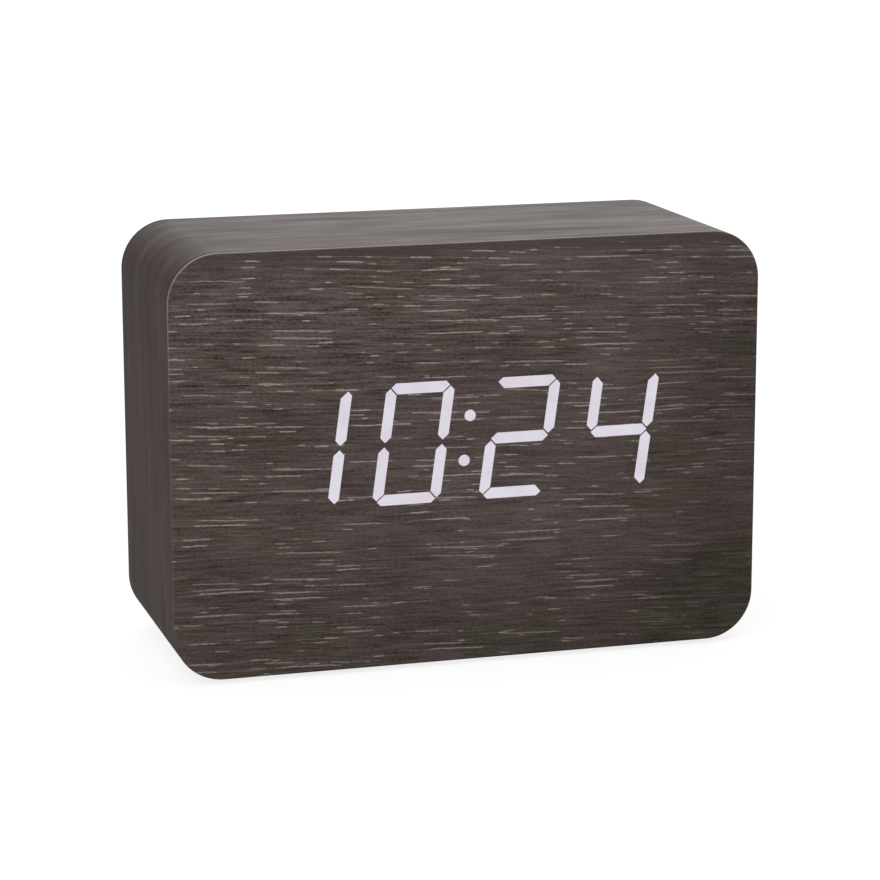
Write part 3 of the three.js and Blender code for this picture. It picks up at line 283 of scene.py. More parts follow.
class Graph:
    """The nodes and links of a material or of the surroundings."""

    def __init__(self, tree):
        self.nodes = tree.nodes
        self.links = tree.links

    def feed(self, node, inputs):
        """Links each signal or socket to the node's input of that name or number, or sets a plain value."""
        for key, value in inputs.items():
            if isinstance(value, Signal):
                value = value.socket
            if isinstance(value, bpy.types.NodeSocket):
                self.links.new(value, node.inputs[key])
            else:
                node.inputs[key].default_value = value

    def node(self, kind, inputs=None, **settings):
        made = self.nodes.new(kind)
        for key, value in settings.items():
            setattr(made, key, value)
        self.feed(made, inputs or {})
        return made

    def parts(self, vector):
        split = self.node("ShaderNodeSeparateXYZ", {0: vector})
        return [Signal(self, socket) for socket in split.outputs]

    def joined(self, x, y=0.0, z=0.0):
        return self.node("ShaderNodeCombineXYZ", {0: x, 1: y, 2: z}).outputs[0]

    def noise(self, x, y=0.0, z=0.0, detail=2.0, roughness=0.5, shift=0.0):
        """Cloudy noise about 0.5, one unit of the inputs across each cloud."""
        place = self.joined(x + shift if shift else x, y, z)
        inputs = {"Vector": place, "Scale": 1.0, "Detail": detail, "Roughness": roughness}
        return Signal(self, self.node("ShaderNodeTexNoise", inputs).outputs[0])

    def cells(self, x, y, scatter=1.0):
        """One random cell for each unit: how far off its middle is, three random numbers and its middle."""
        inputs = {"Vector": self.joined(x, y), "Scale": 1.0, "Randomness": scatter}
        made = self.node("ShaderNodeTexVoronoi", inputs, voronoi_dimensions="2D").outputs
        return Signal(self, made["Distance"]), self.parts(made["Color"]), self.parts(made["Position"])

    def mixed(self, share, first, second):
        """A blend of two colours."""
        return self.node("ShaderNodeMix", {0: share, 6: first, 7: second}, data_type="RGBA").outputs[2]

    def blend(self, share, first, second):
        """A blend of two shaders."""
        return self.node("ShaderNodeMixShader", {0: share, 1: first, 2: second}).outputs[0]

    def shaded(self, tone, strength):
        """A colour made lighter or darker by a signal about 1."""
        inputs = {0: tone[:3] if isinstance(tone, tuple) else tone, "Scale": strength}
        return self.node("ShaderNodeVectorMath", inputs, operation="SCALE").outputs[0]

    def lifted(self, tone, amount):
        """A colour with the same amount of light added to its red, green and blue."""
        inputs = {0: tone, 1: self.joined(amount, amount, amount)}
        return self.node("ShaderNodeVectorMath", inputs, operation="ADD").outputs[0]


class Finish(Graph):
    """A node material in the making, around one Principled shader."""

    def __init__(self, name, metallic=0.0, specular=0.4):
        self.material = bpy.data.materials.new(name)
        self.material.use_nodes = True
        super().__init__(self.material.node_tree)
        self.shader = self.nodes["Principled BSDF"]
        self.feed(self.shader, {"Metallic": metallic, "Specular IOR Level": specular})

    @functools.cached_property
    def place(self):
        """The point's x, y and z in the clock's own frame, in millimetres."""
        point = self.node("ShaderNodeTexCoord").outputs["Object"]
        scale = self.node("ShaderNodeMapping", {"Vector": point, "Scale": (1 / MM, 1 / MM, 1 / MM)})
        return self.parts(scale.outputs["Vector"])

    def grain_map(self):
        """The two directions of the piece's own grain map: along and across the grain, in millimetres."""
        source = self.node("ShaderNodeUVMap", uv_map="grain")
        return self.parts(source.outputs["UV"])[:2]

    def cloud(self, size, **settings):
        """Noise of one size, in millimetres, in every direction."""
        return self.noise(*[side / size for side in self.place], **settings)

    def done(self, tone, roughness, height=None, depth=0.05):
        """Wires the colour, the roughness and a bump whose height signal of 1 is depth millimetres."""
        self.feed(self.shader, {"Base Color": tone, "Roughness": roughness})
        if height is not None:
            bump = self.node("ShaderNodeBump", {"Strength": 1.0, "Distance": depth * MM, "Height": height})
            self.feed(self.shader, {"Normal": bump.outputs["Normal"]})
        return self.material


# The wood-look film

def flecks(finish, along, across, cell_length, cell_height, share, shortest, longest, half_width):
    """Pale flecks in the film: a stretched cell may hold one short line about its middle, which narrows
    at both ends, tilts a little and is broken up along its length. Gives 0 off and up to 1 on a fleck."""
    lots, middle = finish.cells(along / cell_length, across / cell_height, 0.9)[1:]
    off_along = along - middle[0] * cell_length
    off_across = across - middle[1] * cell_height
    reach = lots[0] * lots[0] * (longest - shortest) + shortest
    ends = abs(off_along / reach).rise(1.0, 0.72)
    wobble = (finish.noise(along / 2.2, lots[2] * 40, detail=1) - 0.5) * 0.22
    leaning = abs(off_across - off_along * (lots[1] - 0.5) * 0.05 + wobble)
    body = (ends * half_width - leaning).rise(-0.07, 0.05)
    broken = finish.noise(along / 0.8, across / 0.4, detail=1, shift=17).rise(0.32, 0.55)
    kept = lots[2].under(share)
    return body * kept * (broken * 0.5 + 0.5) * (lots[1] * 0.5 + 0.5)


def front_wood_film():
    """Dark wood-look film on the front: grain along X, dipping to the right by a hair, with pale flecks, a
    calm darker band under the top edge, an olive cast in slow patches and a lighter line where the edge
    is rounded, partly worn film and partly a painted highlight where the edge faces up and to the left.
    The pattern is livelier at the top left and quieter and darker at the lower right; that darkening,
    with a darker bottom and lower left, is partly the film's own tone and partly painted shade."""
    finish = Finish("front_wood_film", specular=0.25)
    x, z = finish.place[::2]
    sway = finish.noise(x / 34, z / 12, detail=1, shift=4) - 0.5
    across = z + x * 0.04 + sway * 1.6
    upper = z.rise(12, 46)
    lower = z.rise(23, 5)
    right = x.rise(-32, 30)
    left = x.rise(5, -40) * z.rise(56, 34)
    quiet = x.rise(18, 44) * z.rise(66, 50)
    # painted shade: the colour darkens to the right, at the bottom and at the lower left, partly the film's
    # own tone and partly painted shade for the key light's fall-off across the face
    painted_shade_and_stain = lower * (x * 0.006 + 0.5) + quiet * 0.55 + x.rise(24, 50) * 0.2 + left * 0.25
    vivid = z.rise(40, 60) * (0.42 - right * 0.2) - right * 0.17 + 0.96
    vivid = vivid * (1 - z.rise(60, 70) * 0.3)
    patches = finish.noise(x / 30, across / 9)
    olive = finish.noise(x / 22, across / 12, shift=57).rise(0.5, 0.7)
    streaks = finish.noise(x / 12, across / 1.1, detail=3, roughness=0.6, shift=9)
    fibres = finish.noise(x / 9, across / 0.6, detail=3, roughness=0.6, shift=31) - 0.5
    hairs = finish.noise(x / 5, across / 0.32, shift=71) - 0.5
    grit = finish.noise(x / 0.6, across / 0.4, detail=1, shift=23) - 0.5
    # the painted shade and stain darken the tone towards a deeper brown
    tone = finish.mixed(painted_shade_and_stain, colour(96, 83, 79), colour(71, 62, 55))
    tone = finish.shaded(tone, patches * 0.7 + 0.66)
    tone = finish.mixed(olive * 0.45, tone, colour(72, 67, 57))
    dark = (streaks - upper * 0.02).rise(0.44, 0.29) * vivid
    tone = finish.mixed(dark * 0.45, tone, colour(52, 44, 40))
    tone = finish.mixed(streaks.rise(0.56, 0.78) * 0.4, tone, colour(112, 101, 96))
    grain = (fibres * 1.8 + hairs * 1.2 + grit * 1.1) * vivid
    tone = finish.lifted(finish.shaded(tone, grain * 0.5 + 1), grain * 0.04)
    top_band = (z + sway * 1.2).rise(67.8, 69.8)
    tone = finish.mixed(top_band * 0.65, tone, colour(76, 64, 60))
    thick_on = upper * 0.16 + 0.38
    long_flecks = flecks(finish, x, across, 13.0, 1.15, thick_on, 1.2, 6.5, 0.1)
    short_flecks = flecks(finish, x + 7.7, across + 3.3, 5.5, 0.95, thick_on * 0.55, 0.5, 1.8, 0.09)
    fading = 1.02 - z.rise(34, 16) * 0.25 - x.rise(-20, 50) * 0.2 - quiet * 0.42
    pale = long_flecks.larger(short_flecks) * fading * (1 - z.rise(69.4, 70))
    tone = finish.mixed(pale, tone, colour(184, 173, 165))
    # partly painted highlight, where the rounded edge faces up and to the left towards the key light and
    # most near the top, and partly the film's paler worn cut edge
    facing = finish.parts(finish.node("ShaderNodeTexCoord").outputs["Normal"])
    worn = (1 - abs(facing[1])).rise(0.06, 0.5) * (facing[2] - facing[0] + 1.2).rise(0.2, 2.3)
    worn = worn * (z.rise(44, 64) * 0.6 + 0.12)
    tone = finish.mixed(worn, tone, colour(164, 156, 150))
    height = fibres * 0.5 - dark * 0.4 - pale * 0.3
    return finish.done(tone, fibres * 0.2 + 0.5, height, depth=0.03)


def wrap_wood_film():
    """The same film round the case: longer streaks that run along the perimeter, calmer and browner on
    the left side."""
    finish = Finish("wrap_wood_film", specular=0.25)
    along, across = finish.grain_map()
    sway = finish.noise(along / 40, across / 12, detail=1, shift=4) - 0.5
    across = across + sway * 1.6
    patches = finish.noise(along / 46, across / 9)
    streaks = finish.noise(along / 21, across / 3.1, detail=4, roughness=0.65, shift=9)
    fibres = finish.noise(along / 6, across / 0.7, detail=3, roughness=0.65, shift=31) - 0.5
    threads = finish.noise(along / 5, across / 0.26, detail=1, shift=47) - 0.5
    lines = finish.noise(along / 12, across / 0.8, shift=83).rise(0.42, 0.28)
    left = along.rise(208, 226) * along.rise(290, 262)
    lively = 1 - left * 0.55
    tone = finish.mixed(patches.rise(0.4, 0.65), colour(77, 66, 61), colour(87, 75, 70))
    tone = finish.mixed(left * 0.7, tone, colour(88, 68, 58))
    tone = finish.mixed(streaks.rise(0.5, 0.34) * lively * 0.4, tone, colour(62, 53, 49))
    tone = finish.mixed(streaks.rise(0.54, 0.7) * lively * 0.5, tone, colour(105, 94, 89))
    tone = finish.mixed(lines * lively * 0.6, tone, colour(54, 45, 40))
    tone = finish.shaded(tone, (fibres * 1.45 + threads * 0.6) * lively + 1)
    pale = flecks(finish, along, across, 15.0, 2.0, 0.3, 1.2, 5.5, 0.09) * 0.45
    tone = finish.mixed(pale, tone, colour(150, 142, 137))
    height = fibres * 0.5 + streaks * 0.5
    matt = (fibres * 0.2 - (streaks - 0.5) * 0.36 - (patches - 0.5) * 0.34) * lively + 0.44
    return finish.done(tone, matt, height * lively)


def outline_distance(points):
    """How far points lie outside the case's front outline, in metres: the signed distance to a
    rectangle with round corners. Also gives the outward direction there."""
    x = points[:, 0]
    z = points[:, 2] - CASE_MIDDLE_Z
    over = np.stack([np.abs(x) - (CASE_HALF_WIDTH - CORNER_RADIUS),
                     np.abs(z) - (CASE_HALF_HEIGHT - CORNER_RADIUS)], axis=1)
    beyond = np.maximum(over, 0)
    length = np.linalg.norm(beyond, axis=1)
    away = beyond / np.maximum(length, 1e-9)[:, None] * np.sign(np.stack([x, z], axis=1))
    return length + np.minimum(over.max(axis=1), 0) - CORNER_RADIUS, away


def in_turn(rows, points):
    """Rows of points sorted by their direction from the case's middle."""
    return rows[np.argsort(np.arctan2(points[rows, 2] - CASE_MIDDLE_Z, points[rows, 0]))]


def front_film():
    """The front film: the CAD sheet and its windows, with a quarter circle carried round the outline as
    its outer edge. A point of that edge is the outline, drawn in by inset along its outward direction."""
    round_over = 0.28 * MM
    near = 0.01 * MM
    points, triangles = welded("front_film")
    front = points[:, 1].min()
    back = points[:, 1].max()
    distance, away = outline_distance(points)
    rim = np.abs(distance) < 3 * near
    front_rim = in_turn(np.flatnonzero(rim & (points[:, 1] < front + near)), points)
    back_rim = in_turn(np.flatnonzero(rim & (points[:, 1] > back - near)), points)
    at_edge = rim[triangles].all(axis=1)
    level = np.ptp(points[triangles][..., 1], axis=1) < near
    sheet = triangles[~at_edge | level]
    edge = points[back_rim]
    outward = away[back_rim]
    inset, depth = quarter(round_over, 0, 0).T
    rings = np.repeat(edge[None], len(inset), axis=0)
    rings[..., [0, 2]] -= (round_over - inset)[:, None, None] * outward
    rings[..., 1] = (front + round_over - depth)[:, None]
    points[front_rim] = rings[0]
    count = len(back_rim)
    added = [len(points) + count * i + np.arange(count) for i in range(len(inset) - 1)]
    rows = np.stack([front_rim, *added, back_rim])
    all_points = np.concatenate([points, rings[1:].reshape(-1, 3)])
    wall = rows.reshape(-1)[grid_faces(len(rows), count, round_columns=True)]
    mesh = bpy.data.meshes.new("front_film_sheet")
    mesh.from_pydata(all_points.tolist(), [], sheet.tolist() + wall.tolist())
    tidy_shell(mesh)
    show(mesh, "front_film", [front_wood_film()], "case", 35.0)


def case_path(corner_steps=32, side_steps=12):
    """The case's outline from the middle of its underside, round by the right: points, outward
    directions and the length run so far. Four straight runs join four quarter circles."""
    wide = CASE_HALF_WIDTH - CORNER_RADIUS
    high = CASE_HALF_HEIGHT - CORNER_RADIUS
    centres = [(wide, -high), (wide, high), (-wide, high), (-wide, -high)]
    angles = [np.linspace(k, k + 1, corner_steps) * np.pi / 2 - np.pi / 2 for k in range(4)]
    outward = [np.stack([np.cos(a), np.sin(a)], axis=1) for a in angles]
    arcs = [np.array(c) + CORNER_RADIUS * n for c, n in zip(centres, outward)]
    start = np.array([[0, -CASE_HALF_HEIGHT]])
    share = np.linspace(0, 1, side_steps, endpoint=False)[1:, None]
    points = [start]
    directions = [np.array([[0.0, -1.0]])]
    for arc, normal in zip(arcs, outward):
        points += [points[-1][-1] + share * (arc[0] - points[-1][-1]), arc]
        directions += [np.repeat(normal[:1], len(share), axis=0), normal]
    points += [points[-1][-1] + share * (start[0] - points[-1][-1])]
    directions += [np.repeat(directions[0], len(share), axis=0)]
    line = np.concatenate(points)
    steps = np.linalg.norm(np.diff(np.concatenate([line, start]), axis=0), axis=1)
    return line, np.concatenate(directions), np.concatenate([[0], np.cumsum(steps)])


def wrap_film():
    """The film round the case: a thin flat section, round at its back edge, carried along the outline.
    A point is the outline drawn in by the section's inset, at the section's depth; its grain map gives
    the length run along the outline and the depth."""
    low, high = box_of("wrap_film")[:2]
    line, outward, run = case_path()
    edge = 0.18 * MM
    outside = quarter(edge, 0, high[1] - edge)
    inset = np.concatenate([[0], edge - outside[::-1, 0], [FILM, FILM]])
    depth = np.concatenate([[low[1]], outside[::-1, 1], [high[1], low[1]]])
    points = np.empty((len(line), len(inset), 3))
    points[..., [0, 2]] = line[:, None] - inset[None, :, None] * outward[:, None]
    points[..., 2] += CASE_MIDDLE_Z
    points[..., 1] = depth
    faces = grid_faces(len(line), len(inset), round_rows=True, round_columns=True)
    row, column = grid_corners(len(line), len(inset))
    uv = np.stack([run[row], (depth + inset)[column % len(inset)]], axis=-1) / MM
    new_piece("wrap_film", "sheet", [(points, faces)], [wrap_wood_film()], 40.0, uv)


# Other finishes

def speckled_plastic(name, base, flat, depth=0.012, size=0.16, specular=0.35):
    """A black body with a finely rough skin: small pits and slow cloudiness."""
    finish = Finish(name, specular=specular)
    pits = finish.cloud(size, detail=3, roughness=0.6)
    cloud = finish.cloud(14)
    tone = finish.shaded(base, pits * 0.5 + cloud * 0.3 + 0.6)
    return finish.done(tone, pits * 0.3 + flat, pits, depth=depth)


def bar_mark(x, z, middle_x, middle_z, half_x, half_z):
    """1 inside a printed bar about its middle, 0 outside it."""
    return (abs(x - middle_x) - half_x).larger(abs(z - middle_z) - half_z).rise(0.03, -0.03)


def ring_mark(x, z, middle_x, middle_z, radius, half):
    """1 on a printed ring, 0 off it: the middle is a radius away, within half the line's width."""
    east = x - middle_x
    north = z - middle_z
    return (abs((east * east + north * north).root() - radius) - half).rise(0.03, -0.03)


def printed_marks(x, z):
    """White pad-printed marks: a direct-current sign over the power socket, a full dot and an open ring
    over the ends of the alarm switch, and a small clock face, a minus and a plus under their keys."""
    socket_x, socket_z = -26.1, 20.6
    switch_z = 60.3
    keys_z = 51.6
    bars = [(socket_x, socket_z + 0.65, 1.4, 0.12)]
    bars += [(socket_x + step, socket_z, 0.35, 0.12) for step in (-1.05, 0, 1.05)]
    bars += [(26, keys_z + 0.25, 0.08, 0.3), (25.8, keys_z, 0.25, 0.08)]
    bars += [(12, keys_z, 0.8, 0.12), (-2, keys_z, 0.8, 0.12), (-2, keys_z, 0.12, 0.8)]
    rings = [(-24.2, switch_z, 0.0, 0.5), (-28.2, switch_z, 0.42, 0.1), (26, keys_z, 0.8, 0.1)]
    marks = [bar_mark(x, z, *bar) for bar in bars] + [ring_mark(x, z, *ring) for ring in rings]
    return functools.reduce(Signal.larger, marks)


def plate_plastic():
    """Black moulding with a spark-eroded skin and white printed marks on its outer face."""
    finish = Finish("plate_spark_black", specular=0.35)
    x, y, z = finish.place
    pits = finish.cloud(0.22, detail=3, roughness=0.6)
    cloud = finish.cloud(16)
    worn = finish.noise(x / 0.2, z / 0.2, shift=5).rise(0.2, 0.4)
    ink = printed_marks(x, z) * y.rise(18.9, 18.95) * worn
    tone = finish.shaded(colour(38, 38, 40), pits * 0.6 + cloud * 0.4 + 0.5)
    tone = finish.mixed(ink * 0.9, tone, colour(206, 206, 203))
    return finish.done(tone, pits * 0.3 + 0.38, pits * (1 - ink), depth=0.035)


def stained_board():
    """Dark-stained fibreboard: pressed fibres in every direction, a few lighter strands, a soft nap."""
    finish = Finish("stained_fibreboard", specular=0.15)
    x, y, z = finish.place
    fibres = finish.noise(x / 0.5, y / 2.5, z / 0.5, detail=4, roughness=0.7)
    cloud = finish.cloud(9, shift=3)
    strands = finish.noise(x / 0.25, y / 0.9, z / 1.1, shift=40).rise(0.6, 0.72)
    tone = finish.mixed(fibres.rise(0.35, 0.65), colour(58, 46, 38), colour(92, 76, 62))
    tone = finish.mixed(strands * 0.5, tone, colour(128, 108, 88))
    tone = finish.shaded(tone, cloud * 0.4 + 0.8)
    return finish.done(tone, 0.85, fibres, depth=0.06)


def lit_bar_light():
    """Milky bars lit from behind: an even cool white glow, drawn with the faint grain of the film."""
    finish = Finish("lit_lens_white", specular=0.1)
    x, z = finish.place[::2]
    lines = finish.noise(x / 9, z / 0.35).rise(0.55, 0.75)
    cloud = finish.noise(x / 5, z / 5, detail=1, shift=6)
    glow = finish.mixed(cloud.rise(0.35, 0.65), colour(224, 220, 231), colour(219, 212, 224))
    glow = finish.mixed(lines * 0.3, glow, colour(205, 198, 208))
    finish.feed(finish.shader, {"Emission Color": glow, "Emission Strength": 0.97})
    return finish.done(colour(26, 26, 27), 0.6, lines, depth=0.005)


def white_moulding():
    """White injection moulding with a faint flow cloud and fine sheen marks."""
    finish = Finish("white_moulding")
    cloud = finish.cloud(8)
    pits = finish.cloud(0.3, shift=8)
    tone = finish.mixed(cloud, colour(232, 232, 228), colour(244, 244, 242))
    return finish.done(tone, pits * 0.2 + 0.35, pits, depth=0.008)


def circuit_green():
    """Green solder mask over copper: patches of straight tracks, upright in some and level in others,
    plain copper between them, and a few tinned rings about drilled holes, which are painted dark as the
    shade inside them."""
    finish = Finish("solder_mask_green", specular=0.5)
    x, z = finish.place[::2]
    patch = finish.cells(x / 8, z / 6)[1]
    upright = patch[0].under(0.4)
    lines = x.wave(0.9) * upright + z.wave(0.9) * (1 - upright)
    tracks = lines.rise(-0.3, 0.2).larger(patch[1].under(0.35))
    distance, lots = finish.cells(x / 2.6, z / 2.6, 0.8)[:2]
    drilled = lots[2].under(0.28)
    ring = distance.rise(0.19, 0.16) * drilled
    painted_hole_shade = distance.rise(0.1, 0.07) * drilled
    weave = finish.cloud(0.4, detail=1)
    tone = finish.mixed(tracks, colour(22, 74, 42), colour(34, 98, 56))
    tone = finish.shaded(tone, weave * 0.3 + 0.85)
    tone = finish.mixed(ring, tone, colour(196, 198, 200))
    # painted shade: the drilled holes are not cut; their dark disc stands in for the shade inside them
    tone = finish.mixed(painted_hole_shade, tone, colour(20, 24, 21))
    return finish.done(tone, ring * 0.1 + 0.28, tracks * 0.6 + ring - painted_hole_shade * 2, depth=0.03)


def plated(name, base, brushing, flat):
    """Plated metal: fine brushing along one direction, soft blotches and a few dull spots."""
    finish = Finish(name, metallic=1.0)
    x, y, z = finish.place
    brushed = finish.noise(x / brushing[0], y / brushing[1], z / brushing[2], detail=3, roughness=0.6)
    blotch = finish.cloud(2.2, shift=12)
    tone = finish.shaded(base, brushed * 0.25 + blotch * 0.25 + 0.72)
    return finish.done(tone, brushed * 0.25 + blotch.rise(0.5, 0.7) * 0.12 + flat, brushed, depth=0.006)


def foot_rubber():
    """Matt black rubber: a dry, dusty skin with fine grain."""
    finish = Finish("foot_rubber", specular=0.2)
    skin = finish.cloud(0.22, detail=3, roughness=0.65)
    dust = finish.cloud(1.8, shift=5).rise(0.5, 0.75)
    tone = finish.mixed(dust * 0.35, colour(27, 27, 27), colour(62, 61, 60))
    return finish.done(tone, skin * 0.2 + 0.75, skin, depth=0.02)


def cell_sleeve():
    """A cell's shrink sleeve: slate film with a pale band near the plus end and fine shrink ripples."""
    finish = Finish("cell_shrink_sleeve", specular=0.5)
    along, around = finish.grain_map()
    ripples = finish.noise(along / 3.0, around / 0.5)
    band = along.rise(34.9, 35.0) * along.rise(36.5, 36.4)
    gold = along.rise(36.5, 36.6)
    tone = finish.mixed(band, colour(52, 62, 74), colour(214, 216, 214))
    tone = finish.mixed(gold, tone, colour(150, 156, 160))
    tone = finish.shaded(tone, ripples * 0.16 + 0.92)
    return finish.done(tone, ripples * 0.1 + 0.24, ripples, depth=0.02)


def enamelled_copper():
    """Enamelled copper: warm metal with darker and lighter lengths under a clear skin."""
    finish = Finish("enamelled_copper", metallic=1.0)
    x, y, z = finish.place
    lengths = finish.noise(x / 0.3, y / 3, z / 3)
    tone = finish.mixed(lengths, colour(150, 78, 40), colour(204, 122, 70))
    return finish.done(tone, lengths * 0.15 + 0.2, lengths, depth=0.01)


def insulation(name, base):
    """Wire insulation: satin plastic with slow colour drift and fine drawn lines."""
    finish = Finish(name, specular=0.45)
    drift = finish.cloud(3)
    tone = finish.shaded(base, drift * 0.3 + 0.85)
    return finish.done(tone, drift * 0.15 + 0.35, drift, depth=0.01)


# Pieces on the outside

def foot(node, material):
    """A round rubber foot, turned about its own axis: flat below with a rounded rim and a shallow ring
    pressed into its sole."""
    low, high, middle = box_of(node)
    reach = (high[0] - low[0]) / 2
    tall = high[2] - low[2]
    edge = 0.25 * MM
    groove = 0.06 * MM
    rim = quarter(edge, reach - edge, edge)
    sole = [(0, 0), (0.3 * reach, 0), (0.34 * reach, groove), (0.46 * reach, groove), (0.5 * reach, 0)]
    wall = [(radius, 2 * edge - height) for radius, height in rim.tolist()]
    profile = sole + wall + [(reach, tall), (0, tall)]
    part = turned(profile, (middle[0], middle[1], low[2]), 2)
    new_piece(node, "pad", [part], [material])


def screw(node, material):
    """A countersunk screw: its head's face is rings about the axis, sunk where a cross of two crossing
    slots with sloping walls is cut, and a cone and a threaded shank are turned below it. The thread is a
    triangle wave of the height that adds to the shank's radius."""
    low, high, middle = box_of(node)
    top = high[1]
    reach = (high[0] - low[0]) / 2
    angle = np.linspace(0, 2 * np.pi, 96, endpoint=False)
    ring = np.concatenate([np.linspace(0, 0.93 * reach, 26), [0.97 * reach, reach]])
    x = ring[:, None] * np.cos(angle)
    z = ring[:, None] * np.sin(angle)
    slot_half, slot_reach, slot_depth = 0.34 * MM, 1.3 * MM, 0.65 * MM
    narrow = np.clip((slot_half - np.minimum(np.abs(x), np.abs(z))) / (0.08 * MM), 0, 1)
    short = np.clip((slot_reach - np.maximum(np.abs(x), np.abs(z))) / (0.45 * MM), 0, 1)
    sunk = slot_depth * narrow * short
    sunk[-2:] = np.array([0.01, 0.06])[:, None] * MM
    face = np.stack([x, -sunk, z], axis=-1) + np.array([middle[0], top, middle[2]])
    height = np.linspace(1.15, 8.2, 120) * MM
    core, ridge, pitch = 0.85 * MM, 0.22 * MM, 0.9 * MM
    thread = core + ridge * (1 - np.abs((height / pitch) % 1 * 2 - 1))
    profile = [(reach, -0.06 * MM), (1.1 * MM, -1.1 * MM)]
    profile += list(zip(thread, -height)) + [(0.5 * MM, -8.6 * MM), (0, -9 * MM)]
    shank = turned(profile, (middle[0], top, middle[2]), 1, 96)
    head = (face, grid_faces(len(ring), len(angle), round_columns=True))
    new_piece(node, "turned", [head, shank], [material], 40.0)


def battery(node, points_right, sleeve, can):
    """A cell, turned about its length: a sleeve shrunk over both rounded rims, a flat minus end and a
    plus nub inside a ring. The grain map holds the height along the cell and the length round it."""
    low, high, middle = box_of(node)
    start, way = (low[0], 1) if points_right else (high[0], -1)
    reach = (high[2] - low[2]) / 2
    span = high[0] - low[0]
    body = span - 0.8 * MM
    edge = 0.5 * MM
    rim = quarter(edge, reach - edge, 0.1 * MM)
    jacket = [(0.86 * reach, 0.02 * MM), (0.9 * reach, 0)]
    jacket += [(radius, 0.6 * MM - height) for radius, height in rim.tolist()]
    jacket += [(reach, height) for height in np.linspace(1, 42.6, 8) * MM]
    jacket += [(radius, body - 0.6 * MM + height) for radius, height in rim[::-1].tolist()]
    jacket += [(0.8 * reach, body), (0.78 * reach, body - 0.1 * MM)]
    minus_end = [(0.88 * reach, 0.05 * MM), (0.6 * reach, 0.1 * MM), (0.55 * reach, 0), (0, 0)]
    nub_radius, nub_edge, seat = 1.9 * MM, 0.25 * MM, body - 0.15 * MM
    nub_rim = quarter(nub_edge, nub_radius - nub_edge, span - nub_edge)
    nub = [(0.8 * reach, seat), (0.45 * reach, seat), (0.42 * reach, body)]
    nub += nub_rim[::-1].tolist() + [(0, span)]
    parts = []
    maps = []
    for profile in (jacket, minus_end, nub):
        radius, height = np.array(profile).T
        line = np.stack([radius, start + way * height], axis=1)
        parts.append(turned(line, (0, middle[1], middle[2]), 0))
        row, column = grid_corners(len(line) - 1, TURNED_SIDES)
        around = column * (2 * np.pi * reach / TURNED_SIDES)
        maps.append((np.stack([height[row], around], axis=-1) / MM).reshape(-1, 2))
    new_piece(node, "cell", parts, [sleeve, can], 30.0, np.concatenate(maps), [0, 1, 1])


# Pieces inside

def rounded_plate(centre, half, radius, low, high, edge=0.08 * MM, steps=7):
    """A sheet-metal plate square to X: a rectangle with round corners, whose rings are drawn in by the
    edge at both faces. A point is its corner's centre plus (radius - inset) in the corner's directions;
    both faces close on the middle."""
    quarters = np.arange(4)[:, None] + np.linspace(0, 1, steps)
    angle = (quarters * np.pi / 2).ravel()
    side = np.repeat(np.array([[1, 1], [-1, 1], [-1, -1], [1, -1]]), steps, axis=0)
    corner = np.array(centre) + side * (np.array(half) - radius)
    direction = np.stack([np.cos(angle), np.sin(angle)], axis=1)
    levels = [(edge, low), (0.3 * edge, low + 0.3 * edge), (0, low + edge)]
    levels += [(0, high - edge), (0.3 * edge, high - 0.3 * edge), (edge, high)]
    inset, height = np.array(levels).T
    points = np.empty((len(inset) + 2, len(angle), 3))
    points[1:-1, :, 0] = height[:, None]
    points[1:-1, :, 1:] = corner + (radius - inset)[:, None, None] * direction
    points[0] = (low, *centre)
    points[-1] = (high, *centre)
    return points, grid_faces(len(inset) + 2, len(angle), round_columns=True)


def contact_spring(face, y, z, way):
    """A cone-shaped battery spring on a contact's face: a part turn climbs out of the plate, and over two
    and a half more x runs on by 2.1 mm while the radius falls from 3.4 to 2.2 mm."""
    turn = np.concatenate([np.linspace(-0.3, 0, 24, endpoint=False), np.linspace(0, 1, 110)])
    out = np.where(turn < 0, 0.8 + 3.0 * turn, 0.8 + 2.1 * turn) * MM
    radius = (3.4 - 1.2 * np.maximum(turn, 0)) * MM
    angle = 5 * np.pi * turn
    across = y + way * radius * np.cos(angle)
    route = np.stack([face + way * out, across, z + radius * np.sin(angle)], axis=1)
    return tube(route, 0.2 * MM, (1, 0, 0), 12)


def contact(node, material, springs, tag_z=None):
    """A nickel battery contact: a plate with round corners, its solder tag and its springs."""
    low, high, middle = box_of(node)
    right = high[0] > 0
    face = (36.1 if right else -12.1) * MM
    thickness = (face, high[0]) if right else (low[0], face)
    y, half_y = 11.4 * MM, 4.25 * MM
    half_z = (high[2] - low[2]) / 2
    parts = [rounded_plate((y, middle[2]), (half_y, half_z), 0.8 * MM, *thickness)]
    if tag_z is not None:
        tag_y, tag_reach = (low[1] + y) / 2, (y - low[1]) / 2
        parts.append(rounded_plate((tag_y, tag_z), (tag_reach, 1.5 * MM), 0.6 * MM, *thickness))
    parts += [contact_spring(face, y, z, -1 if right else 1) for z in springs]
    new_piece(node, "strip", parts, [material], 35.0)


def lead(node, material, across, points):
    """An insulated wire on a smooth route through its points."""
    route = wire_route(np.array(points) * MM)
    new_piece(node, "wire", [tube(route, 0.6 * MM, across, 20)], [material], 60.0)


